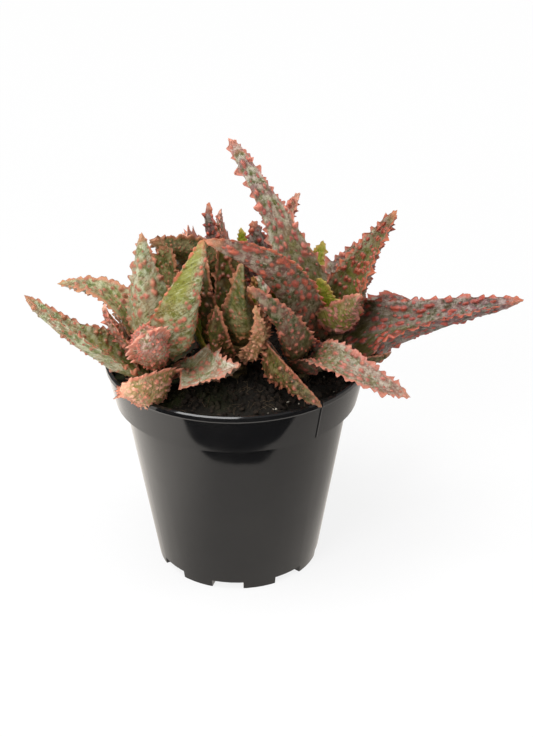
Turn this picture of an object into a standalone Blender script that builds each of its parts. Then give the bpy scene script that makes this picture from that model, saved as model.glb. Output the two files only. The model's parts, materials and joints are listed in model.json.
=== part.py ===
"""A clump of warty, pink-toothed aloe in a black nursery pot.

Units are metres and +Z is up.  The origin is the middle of the pot's base, on the surface that it
stands on.  -Y is the front, +X is to the right of someone who looks at the front.
"""

import math
from collections import namedtuple

import bmesh
import bpy
from mathutils import Matrix, Vector
from mathutils.bvhtree import BVHTree

MM = 0.001
UP = Vector((0, 0, 1))
GAP = 0.35 * MM  # between pieces that touch

# The pot, a thin-walled moulding with a deep rim band and a notched foot
RIM_RADIUS = 60.0 * MM
POT_HEIGHT = 104.0 * MM
BAND_HEIGHT = 19.4 * MM
BAND_FOOT_RADIUS = 56.0 * MM
BODY_TOP_RADIUS = 52.0 * MM
BASE_RADIUS = 38.4 * MM
WALL = 1.3 * MM
LIP = 0.6 * MM  # how far the lip's bead stands out of the band
FOOT_HEIGHT = 3.7 * MM
FOOT_RING = 4.0 * MM
CENTRE_PAD_RADIUS = 14.0 * MM
NOTCHES = 8
NOTCH_ANGLE = math.radians(22)
NOTCH_TURN = math.radians(-98)  # the middle of the front notch
DRAIN_RADIUS = 3.5 * MM
DRAIN_CIRCLE = 25.0 * MM
POT_SEGMENTS = 64

# The compost, which fills the pot to a little under the rim and is heaped round the stems
SOIL_EDGE = 95.0 * MM
SOIL_HEAP = 4.0 * MM
SOIL_MARGIN = 0.3 * MM  # between the top's edge and the band
SOIL_RINGS = 5
SOIL_SEGMENTS = 40

# The stems
STEM_RADIUS = 5.0 * MM
STEM_DEPTH = 18.0 * MM  # below the compost's edge
STEM_SIDES = 12

# The leaves
ROOT_WIDTH = 0.5  # share of the full width where a leaf leaves its stem
SHOULDER = 0.2  # share of the length at which a leaf is widest
TIP_CAP = 0.08  # share of the length over which the tip rounds off
DEPTH = 0.28  # depth of the widest section, as a share of its width
ROOT_DEPTH = 0.45  # depth at the root, as a share of that
THIN_TIP = 0.2  # share of the width below which a leaf also gets thinner
RING_SPACING = 8.0 * MM
FEWEST_RINGS, MOST_RINGS = 6, 12
LENGTH_STEPS = 16
EDGE_STEPS = 6  # places along each side of the root's section that stay clear of the stem

# How a leaf gives way to those before it
MOVE = 0.3  # millimetres at a time
MOST_MOVES = 80
MOST_TURN = math.radians(40)
TURN_RADIUS = 6.0  # millimetres from the stem's middle, where a sideways move becomes a turn

Stem = namedtuple("Stem", "x y top")
Leaf = namedtuple("Leaf", "stem root middle tip width roll fold blunt turn")
Placed = namedtuple("Placed", "tree spine")  # spine: places along the middle of a long piece

STEMS = {
    "left": Stem(-34, -14, 125),
    "right": Stem(44, 2, 126),
    "middle": Stem(0, -11, 120),
    "front": Stem(28, -12, 120),
    "back": Stem(8, 40, 122),
}


def leaf(stem, root, middle, tip, width=20, roll=(0, 0), fold=0.25, blunt=0.08):
    """One leaf, in millimetres and degrees.

    It leaves its stem at the height root, passes through middle and ends at tip.  Roll turns its
    face about its own line, at the root and at the tip.  Fold lifts its margins into a channel, and
    blunt is the width of its tip as a share of its own.
    """
    return Leaf(stem, root, middle, tip, width, roll, fold, blunt, 0.0)


LEAVES = {
    # left rosette
    "left_leaf_tall": leaf("left", 118, (-38, -25, 146), (-39, -26, 175), 27),
    "left_leaf_pale": leaf("left", 105, (-11, -34, 113), (2, -39, 119), 26, (10, 60)),
    "left_leaf_folded": leaf("left", 114, (-25, -29, 146), (-13, -27, 172), 31),
    "left_leaf_reaching": leaf("left", 104, (-64, -25, 127), (-90, -29, 148), 30, (-25, -20)),
    "left_leaf_ball": leaf("left", 111, (-37, -41, 126), (-38, -52, 140), 21, blunt=0.5),
    "left_leaf_over_rim": leaf("left", 101, (-39, -46, 112), (-49, -54, 116), 23, (10, 50)),
    "left_leaf_far": leaf("left", 114, (-54, -4, 135), (-80, 4, 138), 22, (-10, 0)),
    "left_leaf_short": leaf("left", 109, (-49, -18, 128), (-56, -24, 141), 13),
    "left_leaf_behind": leaf("left", 120, (-31, -3, 139), (-30, 0, 158), 24),
    "left_leaf_rear": leaf("left", 103, (-50, 12, 122), (-56, 32, 117), 22),
    # right rosette
    "right_leaf_tower": leaf("right", 123, (24, 6, 161), (-2, 0, 207), 29, (-60, -60), blunt=0.2),
    "right_leaf_arching": leaf("right", 113, (18, -24, 157), (-13, -33, 174), 33),
    "right_leaf_long": leaf("right", 107, (85, -4, 122), (129, -6, 132), 34, (25, 20), 0.4),
    "right_leaf_upper": leaf("right", 114, (55, 6, 141), (72, 6, 171), 29),
    "right_leaf_behind": leaf("right", 112, (46, 24, 129), (60, 30, 146), 22),
    "right_leaf_heart": leaf("right", 121, (48, -9, 130), (55, -12, 139), 13),
    "right_leaf_small": leaf("right", 103, (58, -14, 110), (69, -18, 113), 14),
    "right_leaf_low": leaf("right", 104, (36, -14, 114), (32, -24, 124), 18),
    "right_leaf_lime": leaf("right", 121, (40, -3, 131), (38, -6, 144), 12),
    # front rosette
    "front_leaf_hanging": leaf("front", 100, (20, -37, 115), (36, -58, 108), 26, (-30, -30)),
    "front_leaf_rim": leaf("front", 108, (44, -36, 117), (75, -46, 105), 27, (20, 40)),
    "front_leaf_curled": leaf("front", 112, (22, -34, 136), (5, -38, 155), 26),
    # middle rosette
    "middle_leaf_dark": leaf("middle", 110, (-11, -14, 138), (-12, -12, 157), 21),
    "middle_leaf_second": leaf("middle", 112, (-2, -18, 139), (3, -14, 156), 20),
    "middle_leaf_dry": leaf("middle", 109, (10, -32, 129), (8, -35, 145), 14),
    "middle_leaf_low": leaf("middle", 106, (-7, -24, 125), (-8, -26, 141), 18),
    "middle_leaf_lime": leaf("middle", 105, (-16, -6, 131), (-17, -2, 152), 20),
    "middle_leaf_right": leaf("middle", 106, (7, -7, 129), (8, -5, 145), 15),
    "middle_leaf_inner": leaf("middle", 115, (-4, 2, 137), (-6, 6, 155), 18),
    "middle_leaf_rear": leaf("middle", 104, (9, 4, 125), (14, 12, 142), 22),
    # back rosette
    "back_leaf_broad": leaf("back", 112, (-14, 22, 140), (-38, 6, 158), 26),
    "back_leaf_vertical": leaf("back", 115, (-8, 30, 147), (-11, 30, 166), 16),
    "back_leaf_dark": leaf("back", 114, (10, 26, 141), (8, 20, 161), 22),
    "back_leaf_pink": leaf("back", 110, (19, 37, 145), (30, 36, 168), 16),
    "back_leaf_fresh": leaf("back", 106, (31, 42, 122), (42, 46, 140), 13),
    "back_leaf_narrow": leaf("back", 117, (-4, 42, 142), (-6, 40, 159), 12),
    "back_leaf_cluster": leaf("back", 106, (-12, 36, 134), (-22, 30, 149), 18),
    "back_leaf_inner": leaf("back", 117, (5, 37, 137), (3, 34, 152), 10),
    "back_leaf_left": leaf("back", 103, (-28, 56, 113), (-42, 66, 109), 24),
    "back_leaf_rear": leaf("back", 105, (4, 66, 118), (2, 90, 112), 24),
    "back_leaf_right": leaf("back", 104, (36, 62, 116), (55, 74, 112), 24),
    "right_leaf_rear": leaf("right", 104, (70, 26, 115), (90, 48, 103), 22),
    "left_leaf_back": leaf("left", 104, (-22, 6, 116), (-26, 26, 128), 20),
}


def remove_all():
    for obj in list(bpy.data.objects):
        bpy.data.objects.remove(obj, do_unlink=True)


def material(name, colour, roughness):
    made = bpy.data.materials.new(name)
    made.use_nodes = True
    shader = made.node_tree.nodes["Principled BSDF"]
    shader.inputs["Base Color"].default_value = (*colour, 1)
    shader.inputs["Roughness"].default_value = roughness
    return made


def make_object(name, bm, finish, smooth_angle=math.radians(40)):
    """Turns the bmesh into a named object in the scene."""
    mesh = bpy.data.meshes.new(name)
    bmesh.ops.recalc_face_normals(bm, faces=bm.faces)
    bm.to_mesh(mesh)
    bm.free()
    mesh.shade_smooth()
    mesh.set_sharp_from_angle(angle=smooth_angle)
    mesh.materials.append(finish)
    obj = bpy.data.objects.new(name, mesh)
    bpy.context.scene.collection.objects.link(obj)
    return obj


def lathe(bm, profile, segments):
    """Turns a closed (radius, height) profile about Z.  A point on the axis becomes a pole."""
    rings = []
    for radius, height in profile:
        if radius < 1e-9:
            rings.append([bm.verts.new((0, 0, height))])
            continue
        turn = [2 * math.pi * k / segments for k in range(segments)]
        rings.append([bm.verts.new((radius * math.cos(a), radius * math.sin(a), height)) for a in turn])
    for low, high in zip(rings, rings[1:] + rings[:1]):
        if len(low) == 1 and len(high) == 1:
            continue
        for k in range(segments):
            after = (k + 1) % segments
            below = [low[k % len(low)], low[after % len(low)]]
            above = [high[after % len(high)], high[k % len(high)]]
            bm.faces.new(list(dict.fromkeys(below + above)))


def pot_profile():
    """The pot's section: up the outside from the centre pad, over the lip and down the inside."""
    pad_edge = CENTRE_PAD_RADIUS + FOOT_HEIGHT / 2
    ring_inside = BASE_RADIUS - FOOT_RING
    band_foot = POT_HEIGHT - BAND_HEIGHT
    floor = FOOT_HEIGHT + WALL
    slope = (BODY_TOP_RADIUS - BASE_RADIUS) / band_foot
    return [
        (0, 0),
        (CENTRE_PAD_RADIUS, 0),
        (pad_edge, FOOT_HEIGHT),
        (ring_inside, FOOT_HEIGHT),
        (ring_inside, 0),
        (BASE_RADIUS, 0),
        (BODY_TOP_RADIUS, band_foot),
        (BAND_FOOT_RADIUS, band_foot),
        (RIM_RADIUS - LIP, POT_HEIGHT - 2.4 * WALL),
        (RIM_RADIUS, POT_HEIGHT - 1.8 * WALL),
        (RIM_RADIUS, POT_HEIGHT - 0.4 * WALL),
        (RIM_RADIUS - 0.5 * WALL, POT_HEIGHT),
        (RIM_RADIUS - 1.2 * WALL, POT_HEIGHT),
        (RIM_RADIUS - 1.5 * WALL, POT_HEIGHT - 0.5 * WALL),
        (BAND_FOOT_RADIUS - WALL, band_foot + WALL),
        (BODY_TOP_RADIUS - WALL, band_foot + WALL),
        (BASE_RADIUS + slope * floor - WALL, floor),
        (pad_edge - WALL / 2, floor),
        (CENTRE_PAD_RADIUS - WALL / 2, WALL),
        (0, WALL),
    ]


def cutter(name, bm):
    """A hidden solid that a Boolean takes away."""
    mesh = bpy.data.meshes.new(name)
    bmesh.ops.recalc_face_normals(bm, faces=bm.faces)
    bm.to_mesh(mesh)
    bm.free()
    obj = bpy.data.objects.new(name, mesh)
    bpy.context.scene.collection.objects.link(obj)
    obj.hide_render = True
    obj.display_type = "WIRE"
    return obj


def cut_away(obj, tool):
    cut = obj.modifiers.new("cut_" + tool.name, "BOOLEAN")
    cut.operation = "DIFFERENCE"
    cut.solver = "EXACT"
    cut.object = tool


def notch_cutter():
    """The wedges that open the foot ring into feet."""
    bm = bmesh.new()
    inside, outside = BASE_RADIUS - 1.6 * FOOT_RING, BASE_RADIUS + FOOT_RING
    for n in range(NOTCHES):
        middle = NOTCH_TURN + 2 * math.pi * n / NOTCHES
        corners = []
        for height in (-FOOT_HEIGHT, FOOT_HEIGHT - 0.02 * MM):
            for radius, side in ((inside, -1), (outside, -1), (outside, 1), (inside, 1)):
                angle = middle + side * NOTCH_ANGLE / 2
                corners.append(bm.verts.new((radius * math.cos(angle), radius * math.sin(angle), height)))
        bm.faces.new(corners[:4])
        bm.faces.new(corners[4:])
        for k in range(4):
            bm.faces.new([corners[k], corners[(k + 1) % 4], corners[4 + (k + 1) % 4], corners[4 + k]])
    return cutter("notches", bm)


def drain_cutter():
    """The round holes through the floor, one behind each notch."""
    bm = bmesh.new()
    for n in range(NOTCHES):
        angle = NOTCH_TURN + 2 * math.pi * n / NOTCHES
        place = Vector((DRAIN_CIRCLE * math.cos(angle), DRAIN_CIRCLE * math.sin(angle), FOOT_HEIGHT))
        bmesh.ops.create_cone(
            bm,
            cap_ends=True,
            segments=12,
            radius1=DRAIN_RADIUS,
            radius2=DRAIN_RADIUS,
            depth=6 * WALL,
            matrix=Matrix.Translation(place),
        )
    return cutter("drains", bm)


def make_pot(finish):
    bm = bmesh.new()
    lathe(bm, pot_profile(), POT_SEGMENTS)
    pot = make_object("pot", bm, finish)
    cut_away(pot, notch_cutter())
    cut_away(pot, drain_cutter())
    return pot


def soil_height(x, y):
    """Height of the compost's top: heaped in the middle, with a few low lumps."""
    out = math.hypot(x, y) / BAND_FOOT_RADIUS
    lumps = 0.9 * math.sin(x / (7 * MM) + 1.0) * math.cos(y / (9 * MM)) * (1 - out**2)
    return SOIL_EDGE + SOIL_HEAP * (1 - out**2) + lumps * MM


def make_soil(finish):
    band_foot = POT_HEIGHT - BAND_HEIGHT
    slope = (BODY_TOP_RADIUS - BASE_RADIUS) / band_foot
    floor = FOOT_HEIGHT + WALL + GAP
    side = WALL + GAP
    up_band = (SOIL_EDGE - band_foot) / BAND_HEIGHT
    inside = BAND_FOOT_RADIUS + (RIM_RADIUS - LIP - BAND_FOOT_RADIUS) * up_band - side
    edge = inside - SOIL_MARGIN
    profile = [
        (0, floor),
        (BASE_RADIUS + slope * floor - side, floor),
        (BODY_TOP_RADIUS - side, band_foot + WALL + GAP),
        (BAND_FOOT_RADIUS - side, band_foot + WALL + GAP),
    ]
    profile += [(edge * (1 - n / SOIL_RINGS), SOIL_EDGE) for n in range(SOIL_RINGS + 1)]
    bm = bmesh.new()
    lathe(bm, profile, SOIL_SEGMENTS)
    for vert in bm.verts:
        if vert.co.z > SOIL_EDGE - MM:
            vert.co.z = soil_height(vert.co.x, vert.co.y)
    soil = make_object("compost", bm, finish)
    bm = bmesh.new()
    for stem in STEMS.values():
        stem_solid(bm, stem, GAP)
    cut_away(soil, cutter("stem_holes", bm))
    return soil


def stem_solid(bm, stem, grow=0.0):
    """A round stem that tapers to its tip and, below the compost, to its foot."""
    foot, top = SOIL_EDGE - STEM_DEPTH, stem.top * MM
    sections = [
        (foot - grow, 0.45 * STEM_RADIUS),
        (SOIL_EDGE - 3 * MM, STEM_RADIUS),
        (top - 3 * MM, STEM_RADIUS),
        (top + grow, 0.6 * STEM_RADIUS),
    ]
    rings = []
    for height, radius in sections:
        ring = []
        for k in range(STEM_SIDES):
            angle = 2 * math.pi * k / STEM_SIDES
            out = radius + grow
            x = stem.x * MM + out * math.cos(angle)
            y = stem.y * MM + out * math.sin(angle)
            ring.append(bm.verts.new((x, y, height)))
        rings.append(ring)
    bm.faces.new(rings[0])
    bm.faces.new(rings[-1])
    for low, high in zip(rings, rings[1:]):
        for k in range(STEM_SIDES):
            after = (k + 1) % STEM_SIDES
            bm.faces.new([low[k], low[after], high[after], high[k]])


def make_stems(finish, placed):
    for name, stem in STEMS.items():
        bm = bmesh.new()
        stem_solid(bm, stem)
        obj = make_object(name + "_stem", bm, finish)
        low = SOIL_EDGE - STEM_DEPTH
        height = stem.top * MM - low
        steps = [low + height * k / LENGTH_STEPS for k in range(LENGTH_STEPS + 1)]
        spine = [Vector((stem.x * MM, stem.y * MM, z)) for z in steps]
        placed.append(placed_piece(obj, spine))


def smooth_step(x):
    x = min(max(x, 0.0), 1.0)
    return x * x * (3 - 2 * x)


def width_share(s, blunt):
    """Width at s along the leaf, as a share of its full width."""
    grown = ROOT_WIDTH + (1 - ROOT_WIDTH) * smooth_step(s / SHOULDER)
    tapered = 1 - (1 - blunt) * s
    into_cap = max(0.0, (s - 1 + TIP_CAP) / TIP_CAP)
    return grown * tapered * math.sqrt(max(0.0, 1 - into_cap**2))


def depth_share(s, width):
    """Depth at s along the leaf, as a share of its full depth, where its width has this share."""
    swollen = ROOT_DEPTH + (1 - ROOT_DEPTH) * smooth_step(s / SHOULDER)
    return swollen * (0.3 + 0.7 * width) * min(1.0, width / THIN_TIP)


def curve(points, s):
    """The place at s along a line that is drawn by three control points."""
    a, b, c = points
    return a * (1 - s) ** 2 + b * (2 * s * (1 - s)) + c * s**2


def curve_direction(points, s):
    a, b, c = points
    return ((b - a) * (1 - s) + (c - b) * s).normalized()


def section(half, depth, lift):
    """The eight corners of a leaf's section, from one margin over the face and back round the keel."""
    return [
        (half, lift),
        (0.52 * half, 0.26 * lift),
        (0, 0),
        (-0.52 * half, 0.26 * lift),
        (-half, lift),
        (-0.66 * half, 0.42 * lift - 0.62 * depth),
        (0, -depth),
        (0.66 * half, 0.42 * lift - 0.62 * depth),
    ]


def turned_section(spec, s, along, face, grow):
    """The section at s, square to the leaf's line but still round the origin."""
    face = (face - face.dot(along) * along).normalized()
    roll = math.radians(spec.roll[0] + (spec.roll[1] - spec.roll[0]) * s)
    normal = Matrix.Rotation(roll, 3, along) @ face
    across = along.cross(normal)
    share = width_share(s, spec.blunt)
    half = 0.5 * spec.width * MM * share
    depth = DEPTH * spec.width * MM * depth_share(s, share)
    corners = []
    for x, y in section(half, depth, spec.fold * half):
        swell = Vector((x, y + depth / 2)).normalized() * grow
        corners.append(across * (x + swell.x) + normal * (y + swell.y))
    return corners


def centre_line(spec):
    """The three control points of the leaf's line, and the way its face looks at the root."""
    stem = STEMS[spec.stem]
    axis = Vector((stem.x, stem.y, spec.root)) * MM
    tip = Vector(spec.tip) * MM
    pull = Vector(spec.middle) * MM * 2 - (axis + tip) / 2
    along = (pull - axis).normalized()
    away = Matrix.Rotation(spec.turn, 3, "Z") @ Vector((along.x, along.y, 0)).normalized()
    face = UP - away
    sideways = UP.cross(away)
    corners = turned_section(spec, 0, along, face, 0)
    out = 0.0
    for corner, after in zip(corners, corners[1:] + corners[:1]):
        for step in range(EDGE_STEPS):
            place = corner.lerp(after, step / EDGE_STEPS)
            beside = place.dot(sideways)
            if abs(beside) < STEM_RADIUS + GAP:
                bulge = math.sqrt((STEM_RADIUS + GAP) ** 2 - beside**2)
                out = max(out, bulge - place.dot(away))
    return (axis + away * out, pull, tip), face


def leaf_rings(spec, grow=0.0):
    """The rings of corners that a leaf is skinned over, from its root to its tip, and the tip."""
    points, face = centre_line(spec)
    places = [curve(points, k / LENGTH_STEPS) for k in range(LENGTH_STEPS + 1)]
    length = sum((after - before).length for before, after in zip(places, places[1:]))
    count = min(MOST_RINGS, max(FEWEST_RINGS, round(length / RING_SPACING) + 1))
    rings = []
    for k in range(count):
        s = (k / (count - 0.6)) ** 0.92
        along = curve_direction(points, s)
        face = (face - face.dot(along) * along).normalized()
        middle = curve(points, s)
        rings.append([middle + corner for corner in turned_section(spec, s, along, face, grow)])
    return rings, points[-1] + curve_direction(points, 1) * grow


def skin(rings, tip):
    """Corners and faces of the skin over a leaf's rings."""
    corners = [corner for ring in rings for corner in ring] + [tip]
    sides = len(rings[0])
    faces = [list(range(sides))]
    for low in range(0, sides * (len(rings) - 1), sides):
        for k in range(sides):
            after = (k + 1) % sides
            faces.append([low + k, low + after, low + sides + after, low + sides + k])
    last = sides * (len(rings) - 1)
    faces += [[last + k, last + (k + 1) % sides, len(corners) - 1] for k in range(sides)]
    return corners, faces


def middle_of(ring):
    return sum(ring, Vector()) / len(ring)


def push_between(rings, touching_faces, other):
    """Where along a leaf another piece touches it, and the way in which that pushes it."""
    sides = len(rings[0])
    ring = sum(max(0, face - 1) // sides for face in touching_faces) / len(touching_faces)
    if not other.spine:
        return ring / len(rings), UP
    here = middle_of(rings[round(ring)])
    nearest = min(other.spine, key=lambda place: (place - here).length)
    return ring / len(rings), (here - nearest).normalized()


def gives_way(spec, placed):
    """The leaf, moved a little away from whatever touches it, or None if nothing does."""
    rings, tip = leaf_rings(spec, GAP)
    tree = BVHTree.FromPolygons(*skin(rings, tip))
    stem = STEMS[spec.stem]
    out = middle_of(rings[0]) - Vector((stem.x, stem.y, 0)) * MM
    sideways = UP.cross(Vector((out.x, out.y, 0)).normalized())
    root, turn, middle, end = spec.root, spec.turn, Vector(spec.middle), Vector(spec.tip)
    free = True
    for other in placed:
        touching = [mine for mine, _ in tree.overlap(other.tree)]
        if not touching:
            continue
        free = False
        s, push = push_between(rings, touching, other)
        at_root = MOVE * max(0, (1 - s) * (1 - 2 * s))
        root += at_root * push.z
        turn += at_root * push.dot(sideways) / TURN_RADIUS
        middle += MOVE * push * 4 * s * (1 - s)
        end += MOVE * push * max(0, s * (2 * s - 1))
    if free:
        return None
    turn = min(max(turn, -MOST_TURN), MOST_TURN)
    return spec._replace(root=root, turn=turn, middle=tuple(middle), tip=tuple(end))


def settle(name, spec, placed):
    """Moves a leaf aside, a little at a time, until it is clear of every piece before it."""
    for _ in range(MOST_MOVES):
        moved = gives_way(spec, placed)
        if moved is None:
            return spec
        spec = moved
    raise RuntimeError("there is no room for " + name)


def make_leaves(finish, placed):
    """Makes the leaves in the order of their list, each clear of the pieces before it."""
    for name, spec in LEAVES.items():
        rings, tip = leaf_rings(settle(name, spec, placed))
        corners, faces = skin(rings, tip)
        spine = [middle_of(ring) for ring in rings]
        placed.append(Placed(BVHTree.FromPolygons(corners, faces), spine))
        bm = bmesh.new()
        verts = [bm.verts.new(corner) for corner in corners]
        for face in faces:
            bm.faces.new([verts[k] for k in face])
        make_object(name, bm, finish)


def placed_piece(obj, spine):
    corners = [vert.co for vert in obj.data.vertices]
    faces = [tuple(face.vertices) for face in obj.data.polygons]
    return Placed(BVHTree.FromPolygons(corners, faces), spine)


def main():
    remove_all()
    black_plastic = material("black_plastic", (0.02, 0.02, 0.022), 0.25)
    peat = material("peat", (0.03, 0.022, 0.015), 0.95)
    stem_skin = material("stem_skin", (0.30, 0.24, 0.14), 0.7)
    leaf_skin = material("leaf_skin", (0.42, 0.40, 0.32), 0.45)
    placed = [placed_piece(make_pot(black_plastic), []), placed_piece(make_soil(peat), [])]
    make_stems(stem_skin, placed)
    make_leaves(leaf_skin, placed)


main()
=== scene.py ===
"""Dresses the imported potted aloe: warty, toothed leaves, a glossy nursery pot and peat compost.

It runs as a script inside Blender.  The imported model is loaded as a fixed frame, every visible
piece is built around it, and the stage, the lamps and the camera come last.
"""

import json
import math

import bmesh
import bpy
import numpy as np
from mathutils import Matrix, Vector, noise

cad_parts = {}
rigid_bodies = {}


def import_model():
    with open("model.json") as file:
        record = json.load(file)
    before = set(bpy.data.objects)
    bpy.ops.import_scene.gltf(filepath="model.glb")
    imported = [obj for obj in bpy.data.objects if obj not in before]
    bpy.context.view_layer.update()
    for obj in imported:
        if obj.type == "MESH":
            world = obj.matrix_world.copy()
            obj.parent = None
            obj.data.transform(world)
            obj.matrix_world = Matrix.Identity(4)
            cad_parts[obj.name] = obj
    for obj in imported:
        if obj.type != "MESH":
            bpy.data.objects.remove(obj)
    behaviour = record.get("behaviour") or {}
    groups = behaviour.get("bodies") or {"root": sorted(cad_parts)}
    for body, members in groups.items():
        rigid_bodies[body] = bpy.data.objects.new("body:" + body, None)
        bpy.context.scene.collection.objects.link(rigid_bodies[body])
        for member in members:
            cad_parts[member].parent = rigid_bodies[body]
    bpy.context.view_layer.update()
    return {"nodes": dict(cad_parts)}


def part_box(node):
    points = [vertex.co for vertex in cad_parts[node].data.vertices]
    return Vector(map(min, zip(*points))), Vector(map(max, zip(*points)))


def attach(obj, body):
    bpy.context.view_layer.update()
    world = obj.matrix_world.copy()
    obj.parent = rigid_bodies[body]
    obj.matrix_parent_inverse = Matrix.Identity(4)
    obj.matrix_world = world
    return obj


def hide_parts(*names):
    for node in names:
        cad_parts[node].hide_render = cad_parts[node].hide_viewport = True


bl_info = {
    "name": "Potted aloe",
    "version": (1, 0, 0),
    "blender": (4, 5, 0),
    "location": "3D View > Sidebar > Aloe",
    "description": "Dresses a potted aloe: leaves, stems, compost and pot",
    "category": "Object",
}

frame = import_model()
BODY = "root"
MM = 0.001
WELD = 0.01 * MM

RIM_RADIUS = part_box("pot")[1].x
COMPOST_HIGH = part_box("compost")[1]
COMPOST_RADIUS = COMPOST_HIGH.x

# Leaves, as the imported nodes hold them
CORNERS = 8  # of each section: margin, three of the face, margin, three of the back
HALF = CORNERS // 2
# How far across the face and the back their corners lie
FACE_AT = (0.0, 0.24, 0.5, 0.76, 1.0)
BACK_AT = (0.0, 0.17, 0.5, 0.83, 1.0)
FEWEST_ROWS, FEWEST_ACROSS = 16, 13  # corners of a small leaf's skin


def hue(code):
    """The linear colour, with alpha, of a six-digit screen colour."""
    parts = [int(code[k : k + 2], 16) / 255 for k in (0, 2, 4)]
    linear = [p / 12.92 if p <= 0.04045 else ((p + 0.055) / 1.055) ** 2.4 for p in parts]
    return (*linear, 1.0)


# Leaf finishes.  The first colours are the flesh, its darker mottling, its pale bloom, which also
# paints the highlights on the ridges of the leaf's bump, the green towards the root and the cast
# that lies over it.  Then come the strength of that cast, and the colours of the warts, of the
# margins with their teeth, and of the dry tip.
# The shade, gloom and umber finishes are darker for the leaves that lie in shade among the others:
# partly their own colour, partly painted shade.
FINISHES = {
    "sage": ("a0a877 6b7b3e d0dbbe 888a3c be8d80", 0.50, "a86e52 c1795e bd8060"),
    "silver": ("a4a98b 757b4e d7d1c1 7c793d b1837d", 0.60, "a47059 c48069 c4886e"),
    "olive": ("8d9260 5a6628 b7b592 78782f a07564", 0.50, "9f6b51 c08262 c18a60"),
    "plum": ("abad90 6f7645 eae2d1 8b8948 b88692", 0.75, "c36f65 dc8470 e09a86"),
    "russet": ("72714c 3b4110 b0a492 646424 8b5454", 0.70, "9b4831 b45b42 c37d5c"),
    "dusk": ("67604d 31300e a79891 555218 7c4851", 0.75, "934031 b0503b b86e50"),
    "rose": ("908058 6b642f e3c6b8 80783a bc7679", 0.70, "bf6a58 da856d efb098"),
    "dry": ("9d7f55 806035 c3a37c 76722a a77a5d", 0.35, "b7835f c38565 bb895d"),
    "shade": ("5d5c21 333800 8a7b55 484d00 6f3e33", 0.50, "875438 a86a50 8a5b3d"),
    "lime": ("7a7424 4e4e00 a49d56 6a730b 8f5c38", 0.30, "a56943 be7c56 b2824a"),
    "channel": ("9a9f69 6a7532 cdd9b8 838a1c ba8475", 0.40, "b66b52 d27559 bf7f55"),
    "blush": ("baa67d 807c38 f0d6b6 9b933e da9d82", 0.40, "efb497 f09378 f4b294"),
    "umber": ("575d32 353d0d 8e866e 5b591b 814a47", 0.70, "915641 ae6750 a87254"),
    "gloom": ("484909 393c00 695e31 3e4700 54301a", 0.80, "74442c 985f44 a26a43"),
    "ash": ("8a8167 5d5833 b7ad9e 666234 986866", 0.60, "a16153 ba715f bb806a"),
    "bud": ("8c7b4c 68582a bb9a8a 828a22 a06d64", 0.60, "b0756b cb7860 d39577"),
    "moss": ("6f703b 444e13 978f64 656d23 7d5d3e", 0.40, "8b623a aa6e4b ab7557"),
    "fresh": ("94a022 7d8b0b afb448 7c8b1b a39433", 0.15, "a9994a bba154 bfa751"),
}


class Look:
    """How one leaf is finished and shaped, with its teeth and warts in millimetres."""

    tooth = 1.7  # height of a tooth
    gap = 4.2  # from one tooth to the next
    wart = 0.7  # height of a wart
    spread = 3.8  # from one wart to the next
    girth = 0.9  # radius of a wart
    stretch = 1.15  # how much longer than wide a wart is
    spiny = 0.0  # how far a wart is drawn out to a point
    plump = False  # whether the leaf is as round as an egg
    # places along the leaf, each with its width against its node's and its shift to one side
    width = ((0, 1, 0), (1, 1, 0))
    deep = 1.0  # how thick it is, against its node
    fold = 0.2  # how far its two halves are folded towards its face
    roll = 0  # how many degrees its faces are turned about its length
    green = 0.75  # how far up the leaf its green heart reaches
    green_from = -1.0  # where along the leaf that green begins
    beside = -2.0  # where across the leaf, from -1 to 1, that green begins
    through = 0.3  # how much of that green its back shows
    bare = 0.0  # how free of warts that green is

    def __init__(self, finish, *sizes, **others):
        self.finish = finish
        vars(self).update(zip(("tooth", "gap", "wart", "spread", "girth"), sizes), **others)


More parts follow.
